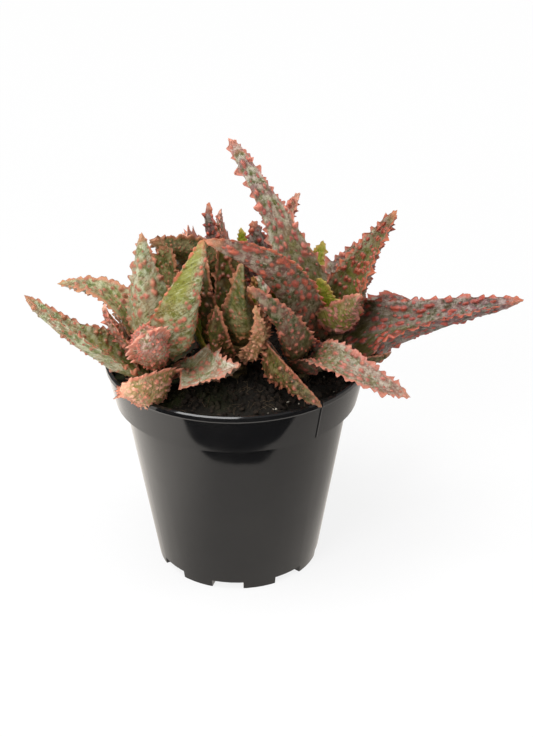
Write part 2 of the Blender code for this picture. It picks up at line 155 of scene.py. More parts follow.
LOOKS = {
    "left_leaf_tall": Look(
        "sage", 1.5, 4.0, 0.75, 3.8, 0.95, fold=0.45,
        width=((0, 1.1, 0), (0.4, 1.4, -0.08), (0.75, 1.15, 0), (1, 1, 0)),
    ),
    "left_leaf_pale": Look(
        "silver", 1.9, 2.2, 0.7, 3.0, 0.75, spiny=0.4,
        width=((0, 0.3, 0), (0.3, 0.4, -0.1), (0.45, 1.6, -0.18), (1, 0.12, 0)),
    ),
    "left_leaf_folded": Look(
        "channel", 1.6, 3.4, 0.7, 3.1, 0.8,
        fold=0.45, green=1.6, green_from=0.4, beside=0.3, through=1.0, bare=0.85,
        width=((0, 1.1, 0), (0.4, 1.15, 0), (1, 1, 0)),
    ),
    "left_leaf_reaching": Look(
        "sage", 1.8, 3.8, 0.8, 3.8, 0.85, stretch=1.0,
        width=((0, 1, 0), (0.3, 1, 0), (0.6, 0.6, 0.18), (0.85, 0.65, 0.15), (1, 0.8, 0)),
    ),
    "left_leaf_ball": Look("rose", 2.2, 1.5, 0.75, 1.7, 0.55, stretch=1.0, spiny=0.4, plump=True),
    "left_leaf_over_rim": Look(
        "blush", 2.2, 2.0, 0.8, 1.9, 0.6,
        stretch=1.0, spiny=0.5, deep=1.4, roll=25, green=1.0, through=0.8,
        width=((0, 1, 0), (0.4, 1.3, 0), (1, 1.1, 0)),
    ),
    "left_leaf_far": Look("olive", 2.2, 2.8, 1.0, 3.2, 0.85, spiny=0.5),
    "left_leaf_short": Look("rose", 1.6, 2.2, 1.0, 2.6, 0.7, spiny=0.6),
    "left_leaf_behind": Look(
        "moss", 1.6, 2.4, 0.5, 1.9, 0.5, spiny=0.3,
        width=((0, 1, 0), (0.5, 1.5, 0.2), (1, 1.6, 0.2)),
    ),
    "left_leaf_rear": Look("olive"),
    "left_leaf_back": Look("shade"),
    "right_leaf_tower": Look(
        "plum", 2.1, 4.6, 0.9, 3.7, 0.95, stretch=1.7, spiny=0.6,
        width=((0, 0.95, 0), (0.35, 0.8, 0), (0.7, 0.68, 0), (0.9, 0.7, 0), (1, 0.8, 0)),
    ),
    "right_leaf_arching": Look(
        "russet", 1.9, 3.6, 0.9, 4.0, 1.0, stretch=1.8, spiny=0.8, fold=0.4,
        width=((0, 0.55, -0.2), (0.3, 0.62, -0.2), (0.65, 0.95, 0), (1, 1, 0)),
    ),
    "right_leaf_long": Look(
        "dusk", 2.0, 4.4, 0.7, 3.6, 0.85, stretch=1.8, spiny=0.4, fold=0.4,
        width=((0, 1.9, 0.25), (0.25, 0.95, 0), (0.45, 0.78, 0), (0.7, 0.85, 0), (1, 0.9, 0)),
    ),
    "right_leaf_upper": Look(
        "russet", 2.0, 3.0, 0.8, 2.7, 0.62, stretch=1.6, spiny=0.6, fold=0.5, green=1.1,
    ),
    "right_leaf_behind": Look("plum", 2.4, 3.6, 0.9, 4.0),
    "right_leaf_rear": Look("dusk", 2.4, 4.2),
    "right_leaf_heart": Look(
        "bud", 1.8, 2.0, 1.0, 1.8, 0.5, spiny=0.8, deep=1.7, green=1.0, through=0.8,
        width=((0, 1.5, 0), (0.4, 2.3, 0), (0.8, 2.0, 0), (1, 1.2, 0)),
    ),
    "right_leaf_small": Look("shade", 1.4, 2.4),
    "right_leaf_low": Look("dusk", 2.0, 3.0),
    "right_leaf_lime": Look(
        "fresh", 1.4, 2.0, 0.5, 2.8, 0.6, roll=30,
        width=((0, 2.0, 0), (0.5, 2.3, 0), (1, 1.8, 0)),
    ),
    "front_leaf_rim": Look(
        "ash", 1.8, 2.8, 0.6, 2.8, 0.7, stretch=1.5, roll=35,
        width=((0, 0.6, 0), (0.25, 0.6, -0.2), (0.45, 0.95, -0.22), (0.8, 1.3, 0), (1, 1.2, 0)),
    ),
    "front_leaf_curled": Look(
        "umber", 2.0, 2.8, 0.7, 3.2, 0.8, spiny=0.4,
        width=((0, 0.7, 0), (0.5, 0.78, 0), (1, 1, 0)),
    ),
    "front_leaf_hanging": Look(
        "shade", 2.0, 2.6, 0.9, 2.8, 0.75, spiny=0.6,
        width=((0, 1, 0), (0.5, 1.5, 0), (0.8, 1.9, 0), (1, 2.2, 0)),
    ),
    "middle_leaf_dark": Look("gloom", 1.5, 1.6, 0.7, 2.8, 0.7, green=1.2),
    "middle_leaf_second": Look(
        "moss", 1.5, 1.6, 0.7, 2.6, 0.7, fold=0.5, green=1.8, green_from=0.35, bare=0.8,
        width=((0, 1, 0), (0.4, 1, 0), (0.6, 0.75, 0), (0.85, 0.6, 0), (1, 0.5, 0)),
    ),
    "middle_leaf_dry": Look(
        "dry", 1.6, 1.8, 1.3, 1.6, 0.55, spiny=0.6,
        width=((0, 0.3, 0), (0.45, 0.5, 0), (0.65, 1, 0), (1, 1, 0)),
    ),
    "middle_leaf_low": Look(
        "gloom", 1.6, 1.8, 0.8, 2.4, 0.65, spiny=0.6,
        width=((0, 0.4, 0), (0.4, 0.7, 0), (0.65, 1.1, 0), (1, 1, 0)),
    ),
    "middle_leaf_lime": Look(
        "fresh", 1.2, 1.8, 0.4, 3.6, 0.6, green=1.3,
        width=((0, 1.2, 0), (0.5, 1.4, 0), (1, 1.1, 0)),
    ),
    "middle_leaf_right": Look("lime", 1.5, 2.0, 0.6, 2.8, 0.65, green=1.3),
    "middle_leaf_inner": Look("gloom", 1.5, 1.6, 0.7, 2.8, 0.7),
    "middle_leaf_rear": Look("plum"),
    "back_leaf_broad": Look(
        "moss", 1.8, 2.0, 0.5, 1.7, 0.45, spiny=0.3, roll=60,
        width=((0, 1.2, 0), (0.5, 1.7, 0), (1, 1.3, 0)),
    ),
    "back_leaf_vertical": Look("dusk", 1.8, 2.4, 0.9, 2.6, 0.7, spiny=0.5),
    "back_leaf_dark": Look("dusk", 1.8, 2.6, 0.8, 3.0, 0.75),
    "back_leaf_pink": Look("rose", 2.2, 2.2, 1.1, 2.4, 0.7, spiny=0.7),
    "back_leaf_fresh": Look(
        "fresh", 1.4, 2.2, 0.3, 3.6, 0.6, roll=70,
        width=((0, 1.4, 0), (1, 1.6, 0)),
    ),
    "back_leaf_narrow": Look("rose", 1.8, 2.4, 0.8, 2.4, 0.65, spiny=0.5),
    "back_leaf_cluster": Look(
        "rose", 3.0, 2.0, 1.6, 2.2, 0.65, spiny=1.0, deep=1.6,
        width=((0, 1.2, 0), (0.6, 1.5, 0), (1, 1.4, 0)),
    ),
    "back_leaf_inner": Look("fresh", 1.0, 2.2, 0.3, 3.8, 0.6, width=((0, 1.7, 0), (1, 1.9, 0))),
    "back_leaf_left": Look("sage"),
    "back_leaf_rear": Look("sage"),
    "back_leaf_right": Look("olive"),
}


class LeafSizes(bpy.types.PropertyGroup):
    """What can be changed on the leaves"""

    step: bpy.props.FloatProperty(
        name="Mesh step", description="Distance between the leaf skin's corners",
        default=0.46 * MM, min=0.3 * MM, unit="LENGTH", precision=5,
    )
    teeth: bpy.props.FloatProperty(
        name="Teeth", description="Height of the margins' teeth, against their usual height",
        default=1.0, min=0.0, max=2.0, subtype="FACTOR",
    )
    warts: bpy.props.FloatProperty(
        name="Warts", description="Height of the warts, against their usual height",
        default=1.0, min=0.0, max=2.0, subtype="FACTOR",
    )
    ripple: bpy.props.FloatProperty(
        name="Ripple", description="How far the leaf's faces and margins wander from a smooth leaf",
        default=0.45 * MM, unit="LENGTH", precision=5,
    )
    seed: bpy.props.IntProperty(
        name="Seed", description="Another number grows other warts and teeth", default=11
    )


class PotLooks(bpy.types.PropertyGroup):
    """What can be changed on the pot"""

    plastic: bpy.props.FloatVectorProperty(
        name="Plastic", description="Colour of the pot's plastic", subtype="COLOR", size=4,
        default=hue("141415"), min=0, max=1,
    )
    polish: bpy.props.FloatProperty(
        name="Roughness", description="Roughness of the pot's polished wall",
        default=0.07, min=0, max=1, subtype="FACTOR",
    )
    seam_angle: bpy.props.FloatProperty(
        name="Seam angle", description="Where the mould's seam runs down the band",
        default=math.radians(-52), subtype="ANGLE",
    )


class CompostLooks(bpy.types.PropertyGroup):
    """What can be changed on the compost"""

    peat: bpy.props.FloatVectorProperty(
        name="Peat", description="Colour of the compost", subtype="COLOR", size=4,
        default=hue("1c1811"), min=0, max=1,
    )
    lumps: bpy.props.FloatProperty(
        name="Lumps", description="Height of the lumps in the compost's top",
        default=1.3 * MM, unit="LENGTH", precision=5,
    )
    crumbs: bpy.props.IntProperty(
        name="Crumbs", description="How many loose crumbs lie on it", default=1500, min=0
    )
    fibres: bpy.props.IntProperty(
        name="Fibres", description="How many peat fibres lie on it", default=260, min=0
    )
    perlite: bpy.props.IntProperty(
        name="Perlite", description="How many pale grains lie in it", default=34, min=0
    )


class StageLooks(bpy.types.PropertyGroup):
    """What can be changed on the stage"""

    floor: bpy.props.FloatVectorProperty(
        name="Floor", description="Colour of the floor", subtype="COLOR", size=4,
        default=(0.93, 0.93, 0.93, 1.0), min=0, max=1,
    )
    lamp: bpy.props.FloatProperty(
        name="Overhead lamp", description="Power of the overhead lamp, which the others follow",
        default=16.0, unit="POWER",
    )
    fill: bpy.props.FloatProperty(
        name="Fill", description="Strength of the even light from all round", default=0.34, min=0
    )


# ---------------------------------------------------------------- meshes


def only(piece):
    """Selects one piece and makes it the active one."""
    bpy.ops.object.select_all(action="DESELECT")
    piece.select_set(True)
    bpy.context.view_layer.objects.active = piece


def in_edit(piece, tool, **settings):
    """Runs one mesh tool over the whole of a piece."""
    only(piece)
    bpy.ops.object.mode_set(mode="EDIT")
    bpy.ops.mesh.select_all(action="SELECT")
    tool(**settings)
    bpy.ops.object.mode_set(mode="OBJECT")


def modified(piece, kind, **settings):
    """Adds one modifier to a piece, with its settings, and applies it."""
    only(piece)
    bpy.ops.object.modifier_add(type=kind)
    for name, value in settings.items():
        setattr(piece.modifiers[-1], name, value)
    bpy.ops.object.modifier_apply(modifier=piece.modifiers[-1].name)


def merged_copy(node, name):
    """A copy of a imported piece, with its loose triangles joined into one skin."""
    only(frame["nodes"][node])
    bpy.ops.object.duplicate()
    piece = bpy.context.active_object
    bpy.ops.object.parent_clear(type="CLEAR_KEEP_TRANSFORM")
    for key in [key for key in piece.keys() if key.startswith("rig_")]:
        del piece[key]
    piece.name = piece.data.name = name
    piece.data.materials.clear()
    bpy.ops.mesh.customdata_custom_splitnormals_clear()
    in_edit(piece, bpy.ops.mesh.remove_doubles, threshold=WELD)
    return piece


def new_piece(name, corners, faces):
    """A smooth-shaded piece made from its corners and faces."""
    mesh = bpy.data.meshes.new(name)
    mesh.from_pydata(corners, [], faces)
    mesh.shade_smooth()
    piece = bpy.data.objects.new(name, mesh)
    bpy.context.scene.collection.objects.link(piece)
    return piece


def finish_piece(piece, material, slot, *nodes):
    """Gives a piece its material and its body, and hides the nodes that it stands for; its slot is
    not used.
    """
    piece.data.materials.append(material)
    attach(piece, BODY)
    if nodes:
        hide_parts(*nodes)


def keep_values(mesh, **values):
    """Stores a number for each corner, for the material to read."""
    for name, numbers in values.items():
        layer = mesh.attributes.new(name, "FLOAT", "POINT")
        layer.data.foreach_set("value", np.asarray(numbers, np.float32).ravel())


# ---------------------------------------------------------------- leaf shapes


def unit(vectors):
    """The same directions, each of length 1."""
    return vectors / np.maximum(np.linalg.norm(vectors, axis=-1, keepdims=True), 1e-12)


def levels_from(tip):
    """The corners of a mesh in steps from one of them: itself, its neighbours, theirs and so on."""
    levels, seen = [[tip]], {tip}
    while levels[-1]:
        ring = []
        for vert in levels[-1]:
            for edge in vert.link_edges:
                other = edge.other_vert(vert)
                if other not in seen:
                    seen.add(other)
                    ring.append(other)
        levels.append(ring)
    return levels[:-1]


def in_order(ring):
    """The corners of one section in their order round the leaf."""
    members = set(ring)
    order = [ring[0]]
    while len(order) < len(ring):
        here = order[-1]
        for edge in here.link_edges:
            other = edge.other_vert(here)
            on_skin = any(vert not in members for face in edge.link_faces for vert in face.verts)
            if other in members and other not in order and on_skin:
                order.append(other)
                break
        else:
            raise RuntimeError("a leaf's section isn't a closed ring")
    return np.array([vert.co for vert in order])


def matched(ring, before):
    """One section's corners, started and turned as the section before."""
    wanted = before - before.mean(0)
    best = None
    for turned in (ring, ring[::-1]):
        for shift in range(CORNERS):
            corners = np.roll(turned, shift, axis=0)
            apart = np.linalg.norm(corners - corners.mean(0) - wanted, axis=1).sum()
            if best is None or apart < best[0]:
                best = (apart, corners)
    return best[1]


def leaf_sections(piece):
    """A leaf's sections from root to tip, each from margin over the face to margin and back."""
    bm = bmesh.new()
    bm.from_mesh(piece.data)
    levels = None
    for vert in bm.verts:
        if len(vert.link_edges) == CORNERS:
            found = levels_from(vert)
            if all(len(ring) == CORNERS for ring in found[1:]):
                levels = found
                break
    if levels is None:
        raise RuntimeError("no tip was found on " + piece.name)
    tip = np.array(levels[0][0].co)
    rings = [in_order(ring) for ring in levels[1:]]
    bm.free()
    for k in range(1, len(rings)):
        rings[k] = matched(rings[k], rings[k - 1])
    rings = np.array(rings[::-1])
    across = [np.linalg.norm(rings[:, k] - rings[:, k + HALF], axis=1).sum() for k in range(HALF)]
    rings = np.roll(rings, -int(np.argmax(across)), axis=1)
    middle = (rings[:, 0] + rings[:, HALF]) / 2
    first, second = (
        np.linalg.norm(rings[:, k] - middle, axis=1).sum() for k in (HALF // 2, HALF + HALF // 2)
    )
    if first > second:  # the face is the flatter side
        rings = np.roll(rings, HALF, axis=1)
    return rings, tip


def smooth_curve(values, at, wanted):
    """Values read from a smooth curve that passes through the given ones."""
    values, at, wanted = np.asarray(values), np.asarray(at, float), np.asarray(wanted, float)
    shape = (-1,) + (1,) * (values.ndim - 1)
    gaps = np.diff(at).reshape(shape)
    slopes = np.diff(values, axis=0) / gaps
    inner = (slopes[:-1] * gaps[1:] + slopes[1:] * gaps[:-1]) / (gaps[1:] + gaps[:-1])
    tangents = np.concatenate([slopes[:1], inner, slopes[-1:]])
    k = np.clip(np.searchsorted(at, wanted, side="right") - 1, 0, len(at) - 2)
    gap = gaps[k]
    x = ((wanted - at[k]) / (at[k + 1] - at[k])).reshape(shape)
    low, high = values[k], values[k + 1]
    rise = high - low
    curve = low + x * (x * (3 - 2 * x)) * rise
    curve += gap * x * (1 - x) * ((1 - x) * tangents[k] - x * tangents[k + 1])
    return curve


def crowded(count):
    """Places from 0 to 1 that lie closer together at both ends, where the margins are."""
    x = np.linspace(0, 1, count)
    return 0.55 * x + 0.45 * (0.5 - 0.5 * np.cos(math.pi * x))


def leaf_grid(rings, tip, step):
    """A fine skin over a leaf: rows from root to near the tip, and its far margin's column."""
    corners = np.concatenate([rings, np.repeat(tip[None, None], CORNERS, axis=1)])
    strides = np.linalg.norm(np.diff(corners, axis=0), axis=2).mean(1)
    at = np.concatenate([[0], np.cumsum(strides)])
    rows = max(FEWEST_ROWS, int(at[-1] / step))
    wanted = np.linspace(0, at[-1], rows + 1)[:-1]
    sections = smooth_curve(corners, at, wanted).transpose(1, 0, 2)
    width = np.linalg.norm(sections[0] - sections[HALF], axis=1).max()
    across = max(FEWEST_ACROSS, int(width / (1.15 * step)) | 1)
    face = smooth_curve(sections[: HALF + 1], FACE_AT, crowded(across))
    back = smooth_curve(np.roll(sections, -HALF, axis=0)[: HALF + 1], BACK_AT, crowded(across))
    grid = np.concatenate([face, back[1:-1]]).transpose(1, 0, 2)
    return grid, across - 1


def outward(grid):
    """For each corner of a skin, the ways out of it and towards the tip."""
    along = np.gradient(grid, axis=0)
    around = np.roll(grid, -1, axis=1) - np.roll(grid, 1, axis=1)
    normal = unit(np.cross(along, around))
    if (normal * (grid - grid.mean(1, keepdims=True))).sum() < 0:
        normal = -normal
    return normal, unit(along)


def ripples(places, rng, wave):
    """A smooth random field, from -1 to 1, with about the given distance between its crests."""
    waves = 7
    field = np.zeros(places.shape[:-1])
    for _ in range(waves):
        way = unit(rng.normal(size=3)) * 2 * math.pi / (wave * rng.uniform(0.7, 1.6))
        field += np.sin(places @ way + rng.uniform(0, 2 * math.pi))
    return field / waves * 1.6


def arc_of(line):
    """How far along a line each of its corners lies."""
    return np.concatenate([[0], np.cumsum(np.linalg.norm(np.diff(line, axis=0), axis=1))])


def shaped(grid, far, look):
    """A skin with another width, thickness and fold than its node's, and shifted to one side."""
    share = np.linspace(0, 1, len(grid))
    at, factors, shifts = zip(*look.width)
    factor = np.interp(share, at, factors)[:, None, None]
    shift = np.interp(share, at, shifts)[:, None, None]
    middle = (grid[:, 0] + grid[:, far])[:, None] / 2
    span = (grid[:, far] - grid[:, 0])[:, None]
    across = unit(span)
    through = unit(np.cross(across, np.gradient(middle, axis=0)))
    face = grid[:, : far + 1].mean(1, keepdims=True) - grid[:, far:].mean(1, keepdims=True)
    through *= np.sign((face * through).sum())
    aside = ((grid - middle) * across).sum(-1, keepdims=True) * across
    depth = ((grid - middle) * through).sum(-1, keepdims=True) * through
    half = np.linalg.norm(span, axis=-1, keepdims=True) / 2
    rounding = 0.03  # of the crease along the middle
    bend = np.sqrt((np.linalg.norm(aside, axis=-1, keepdims=True) / half) ** 2 + rounding) - 0.5
    calm = np.sin(math.pi * share)[:, None, None] ** 0.5
    fold = through * bend * half * look.fold * calm
    return grid + aside * (factor - 1) + depth * (look.deep - 1) + shift * span + fold


def rolled(grid, angle):
    """A skin turned about its own length, from nothing at its root."""
    middle = grid.mean(1, keepdims=True)
    axis = unit(np.gradient(middle, axis=0))
    turn = angle * np.clip(np.linspace(0, 1, len(grid)) / 0.35, 0, 1)[:, None, None]
    arm = grid - middle
    held = (arm * axis).sum(-1, keepdims=True) * axis
    beside = np.cross(np.broadcast_to(axis, arm.shape), arm)
    return middle + held + (arm - held) * np.cos(turn) + beside * np.sin(turn)


def egg(grid, tip, far, step):
    """An egg in place of a blunt leaf: its rows, and its far margin's column."""
    root = grid[0].mean(0)
    centre, lengthwise = (root + tip) / 2, unit(tip - root)
    fattest = np.argmax(np.linalg.norm(grid[:, far] - grid[:, 0], axis=1))
    across = grid[fattest, far] - grid[fattest, 0]
    half_width = 0.5 * np.linalg.norm(across)
    across = unit(across - across @ lengthwise * lengthwise)
    deep = np.cross(lengthwise, across)
    half_width = 0.5 * (half_width + 0.5 * np.ptp(grid[fattest] @ deep))
    half_length = 0.5 * np.linalg.norm(tip - root)
    around = 2 * int(math.pi * half_width / (1.1 * step))
    rows = int(math.pi * half_length / step)
    down = np.linspace(0.12, 1, rows + 1)[:-1, None, None] * math.pi
    turn = np.linspace(0, 2 * math.pi, around, endpoint=False)[None, :, None] + 0.7
    girth = np.sin(down) ** 0.8 * (np.cos(turn) * across + np.sin(turn) * deep) * half_width
    return centre - np.cos(down) * lengthwise * half_length + girth, around // 2


BARE_ROOT = 0.06  # share of a margin below its first tooth
PAIRED = 0.22  # share of the teeth that stand close to the next one
TOOTH_REACH, EDGE_REACH = 0.8 * MM, 1.15 * MM  # how far in a tooth and its colour reach
LEFT_OUT, LARGE = 0.16, 0.4  # shares of the warts
STRAY = 0.42  # how far a wart strays from its row, against the spread
MARK_REACH = 2.2  # how far a wart's colour, with its pink halo and painted shadow, reaches, in its radii


def grow_teeth(grid, normal, margin, other, look, size, rng):
    """Teeth along one margin: how far each corner moves, and how near the margin it lies."""
    line = grid[:, margin]
    arc = arc_of(line)
    length = arc[-1]
    out = unit(line - grid[:, other])
    along = unit(np.gradient(line, axis=0))
    tilt = normal[:, margin]
    pulled = np.zeros_like(line)
    red = np.zeros(len(line))
    place = BARE_ROOT * length + rng.uniform(0, look.gap) * MM
    while place < length - TOOTH_REACH:
        left = (length - place) / length
        room = min(1.0, 0.45 + 3.2 * left) * min(1.0, 0.4 + 5 * (1 - left))
        tall = look.tooth * MM * rng.uniform(0.55, 1.3) * room * size
        wide = (0.6 * tall + 0.6 * MM) * rng.uniform(0.8, 1.2)
        share = np.clip(1 - np.abs(arc - place) / wide, 0, 1)
        blunt = np.clip(share * rng.uniform(1.0, 1.5), 0, 1)
        way = unit(out + rng.uniform(0.0, 0.8) * along + rng.uniform(-0.5, 0.5) * tilt)
        pulled += (tall * blunt**1.15)[:, None] * way
        red = np.maximum(red, share**0.6)
        paired = rng.uniform() < PAIRED
        place += look.gap * MM * (rng.uniform(0.3, 0.45) if paired else rng.uniform(0.7, 1.5))
    apart = np.linalg.norm(grid - line[:, None], axis=2)
    near = np.exp(-((apart / TOOTH_REACH) ** 2))
    edge = np.exp(-((apart / EDGE_REACH) ** 2)) * (0.5 + 0.5 * red[:, None])
    return near[:, :, None] * pulled[:, None], edge


def grow_warts(grid, normal, along, columns, look, size, rng):
    """Warts over one side of a leaf: how far each corner rises, and how near a wart it is."""
    rows, around = grid.shape[:2]
    raised = np.zeros((rows, around))
    mark = np.zeros((rows, around))
    spine = arc_of(grid[:, columns[len(columns) // 2]])
    step = np.linalg.norm(grid[1, 0] - grid[0, 0])
    place = look.spread * rng.uniform(0.3, 1.0) * MM
    while place < spine[-1] - MM:
        row = min(int(np.searchsorted(spine, place)), rows - 1)
        across = arc_of(grid[row, columns])
        spot = rng.uniform(0.2, 0.9) * look.spread * MM
        while spot < across[-1] - 0.5 * MM:
            shifted = int(np.searchsorted(spine, place + rng.normal() * STRAY * look.spread * MM))
            shifted = min(max(shifted, 1), rows - 2)
            column = columns[min(int(np.searchsorted(across, spot)), len(columns) - 1)]
            spot += look.spread * MM * rng.uniform(0.65, 1.35)
            if rng.uniform() < LEFT_OUT:
                continue
            bulk = rng.uniform(0.85, 1.5) if rng.uniform() < LARGE else rng.uniform(0.4, 0.85)
            girth = look.girth * MM * bulk
            tall = 1.25 * look.wart * MM * bulk * rng.uniform(0.7, 1.25) * size
            long = girth * look.stretch * rng.uniform(0.85, 1.25)
            centre, way = grid[shifted, column], along[shifted, column]
            span = int(MARK_REACH * long / step) + 2
            top, bottom = max(0, shifted - span), min(rows, shifted + span + 1)
            away = grid[top:bottom] - centre
            run = away @ way
            side = np.linalg.norm(away - run[..., None] * way, axis=-1)
            facing = normal[top:bottom] @ normal[shifted, column] > 0.2
            apart = np.sqrt((run / long) ** 2 + (side / girth) ** 2)
            dome = np.clip(1 - apart**2, 0, 1)
            spike = np.clip(1 - apart, 0, 1) ** 1.1 * 1.25
            lift = tall * facing * (dome + (spike - dome) * look.spiny)
            np.maximum(raised[top:bottom], lift, out=raised[top:bottom])
            spot_mark = np.clip(1 - apart / MARK_REACH, 0, 1) * facing
            np.maximum(mark[top:bottom], spot_mark, out=mark[top:bottom])
        place += look.spread * MM * rng.uniform(0.75, 1.15)
    return raised, mark


def skin_faces(rows, around):
    """Four-sided faces over the rows, a fan at the tip and a cap at the root."""
    row, column = np.meshgrid(np.arange(rows - 1), np.arange(around), indexing="ij")
    here = row * around + column
    beside = row * around + (column + 1) % around
    quads = np.stack([here, beside, beside + around, here + around], axis=-1).reshape(-1, 4)
    last = (rows - 1) * around
    tip = rows * around
    fan = [(last + k, last + (k + 1) % around, tip) for k in range(around)]
    return quads.tolist() + fan + [tuple(range(around - 1, -1, -1))]


def green_heart(look, share, far, around):
    """How green each corner is: most along the middle of the face, and towards the root."""
    aside = np.interp(np.arange(around), (0, far, around), (-1, 1, -1))
    green = np.full((len(share), around), look.through)
    green[:, : far + 1] = 1 - 0.8 * aside[: far + 1] ** 2
    started = np.clip((share - look.green_from) / 0.2, 0, 1)
    green *= np.clip((look.green - share) / 0.6, 0, 1) * started
    return green * np.clip((aside - look.beside) / 0.25, 0, 1)


def grow_leaf(name, look, sizes, rng):
    """One leaf, built over its node."""
    rough = merged_copy(name, name + "_frame")
    rings, tip = leaf_sections(rough)
    bpy.data.objects.remove(rough)
    grid, far = leaf_grid(rings, tip, sizes.step)
    if look.roll:
        grid = rolled(grid, math.radians(look.roll))
    grid = shaped(grid, far, look)
    if look.plump:
        grid, far = egg(grid, tip, far, sizes.step)
    rows, around = grid.shape[:2]
    normal, along = outward(grid)
    share = np.linspace(0, 1, rows + 1)[:-1][:, None]
    near_root, near_tip = 0.12, 0.02 if look.plump else 0.1
    calm = np.clip(share / near_root, 0, 1) * np.clip((1 - share) / near_tip, 0, 1)
    wander = ripples(grid, rng, 13 * MM) * 0.6 + ripples(grid, rng, 4 * MM) * 0.5
    moved = normal * (sizes.ripple * calm * wander)[..., None]
    edge = np.zeros((rows, around))
    for margin, other in ((0, far), (far, 0)):
        pulled, near = grow_teeth(grid, normal, margin, other, look, sizes.teeth, rng)
        moved += pulled
        edge = np.maximum(edge, near)
    green = green_heart(look, share, far, around)
    warty = 1 - look.bare * green
    wart = np.zeros((rows, around))
    for columns in (np.arange(1, far), np.arange(far + 1, around)):
        raised, mark = grow_warts(grid, normal, along, columns, look, sizes.warts, rng)
        lean = 0.25 + 0.4 * look.spiny
        moved += (normal + lean * along) * (raised * warty * calm**0.4)[..., None]
        wart = np.maximum(wart, mark * warty)
    corners = np.concatenate([(grid + moved).reshape(-1, 3), tip[None]])
    faces = skin_faces(rows, around)
    inward = np.cross(grid[1, 0] - grid[0, 0], grid[0, 1] - grid[0, 0]) @ normal[0, 0] > 0
    if inward:
        faces = [face[::-1] for face in faces]
    piece = new_piece(name + "_skin", corners.tolist(), faces)
    under = np.zeros((rows, around))
    under[:, far + 1 :] = 1.0
    run = np.repeat(arc_of(grid.mean(1))[:, None], around, axis=1)
    sides = np.linalg.norm(np.diff(grid, axis=1), axis=2)
    turn = np.concatenate([np.zeros((rows, 1)), np.cumsum(sides, axis=1)], axis=1)
    keep_values(
        piece.data,
        wart=np.append(wart, 0),
        edge=np.append(edge, 1),
        along=np.append(np.repeat(share, around), 1) * (0.8 if look.plump else 1.0),
        under=np.append(under, 0.5),
        green=np.append(green, 0),
        run=np.append(run, run[-1, 0]),
        turn=np.append(turn, 0),
    )
    return piece


# ---------------------------------------------------------------- materials


class Wires:
    """Adds nodes to a tree and joins them."""

    def __init__(self, tree):
        self.tree = tree

    def feed(self, socket, value):
        """Joins an output to a socket, or sets the socket's own value."""
        if isinstance(value, bpy.types.NodeSocket):
            self.tree.links.new(value, socket)
        else:
            socket.default_value = value

    def node(self, kind, settings=None, **inputs):
        """A new node, with its settings and what its inputs take."""
        made = self.tree.nodes.new("ShaderNode" + kind)
        for name, value in (settings or {}).items():
            setattr(made, name, value)
        for name, value in inputs.items():
            self.feed(made.inputs[name.replace("_", " ")], value)
        return made

    def mix(self, share, low, high, how="MIX"):
        """The mix of two colours."""
        made = self.node("Mix", {"data_type": "RGBA", "blend_type": how})
        self.feed(made.inputs[0], share)
        self.feed(made.inputs[6], low)
        self.feed(made.inputs[7], high)
        return made.outputs[2]

    def math(self, how, first, second=0.5, third=0.5):
        made = self.node("Math", {"operation": how})
        for socket, value in zip(made.inputs, (first, second, third)):
            self.feed(socket, value)
        return made.outputs[0]

    def add(self, first, second):
        return self.math("ADD", first, second)

    def times(self, first, second):
        return self.math("MULTIPLY", first, second)

    def swing(self, field, reach):
        """A field from 0 to 1, spread evenly about 0."""
        return self.math("MULTIPLY_ADD", field, reach, -reach / 2)

    def span(self, value, low, high, to_low=0.0, to_high=1.0):
        """A value brought smoothly from one range to another."""
        made = self.node(
            "MapRange", {"interpolation_type": "SMOOTHSTEP"},
            Value=value, From_Min=low, From_Max=high, To_Min=to_low, To_Max=to_high,
        )
        return made.outputs[0]

    def coat(self, colour, tint, field, low, high, most=1.0, how="MIX"):
        """A colour with a tint laid over it where a field has passed from low to high."""
        return self.mix(self.span(field, low, high, 0.0, most), colour, tint, how)

    def mix_shaders(self, share, low, high):
        """The mix of two shaders."""
        made = self.node("MixShader", Fac=share)
        self.feed(made.inputs[1], low.outputs[0])
        self.feed(made.inputs[2], high.outputs[0])
        return made

    def noise(self, place, scale, detail=3.0, rough=0.55):
        made = self.node("TexNoise", Vector=place, Scale=scale, Detail=detail, Roughness=rough)
        return made.outputs[0]

    def cells(self, place, scale):
        return self.node("TexVoronoi", Vector=place, Scale=scale).outputs[0]

    def place(self):
        """Where on the piece a pattern is read."""
        return self.node("TexCoord").outputs["Object"]

    def stored(self, name):
        """A number that keep_values stored for each corner."""
        return self.node("Attribute", {"attribute_name": name}).outputs["Fac"]


def group(name, inputs, outputs):
    """A new node group with named inputs and outputs: its wires, its inputs and its output node."""
    tree = bpy.data.node_groups.new(name, "ShaderNodeTree")
    for label, kind, default in inputs:
        socket = tree.interface.new_socket(name=label, in_out="INPUT", socket_type=kind)
        socket.default_value = default
    for label, kind in outputs:
        tree.interface.new_socket(name=label, in_out="OUTPUT", socket_type=kind)
    wires = Wires(tree)
    start = tree.nodes.new("NodeGroupInput").outputs
    end = tree.nodes.new("NodeGroupOutput").inputs
    return wires, start, end


COLOUR, NUMBER = "NodeSocketColor", "NodeSocketFloat"
GREY = (0.5, 0.5, 0.5, 1.0)
WHITE = (1.0, 1.0, 1.0, 1.0)

# The leaf skin's colours that each finish gives, and those that all finishes share.  The three
# shades are painted shade for the grooves, the root and the pits, and the pale last one is a
# painted sheen.
SKIN_COLOURS = ("Flesh", "Mottling", "Bloom and highlight", "Heart", "Cast", "Wart", "Margin", "Tip")
RIB_SHADE, ROOT_SHADE, PORE_SHADE = hue("8c8468"), hue("7d7d6c"), hue("8f8f78")
RIPE_WART, RIPE_MARGIN, PAINTED_SHEEN = hue("a04648"), hue("b04a4a"), hue("e3dcc4")


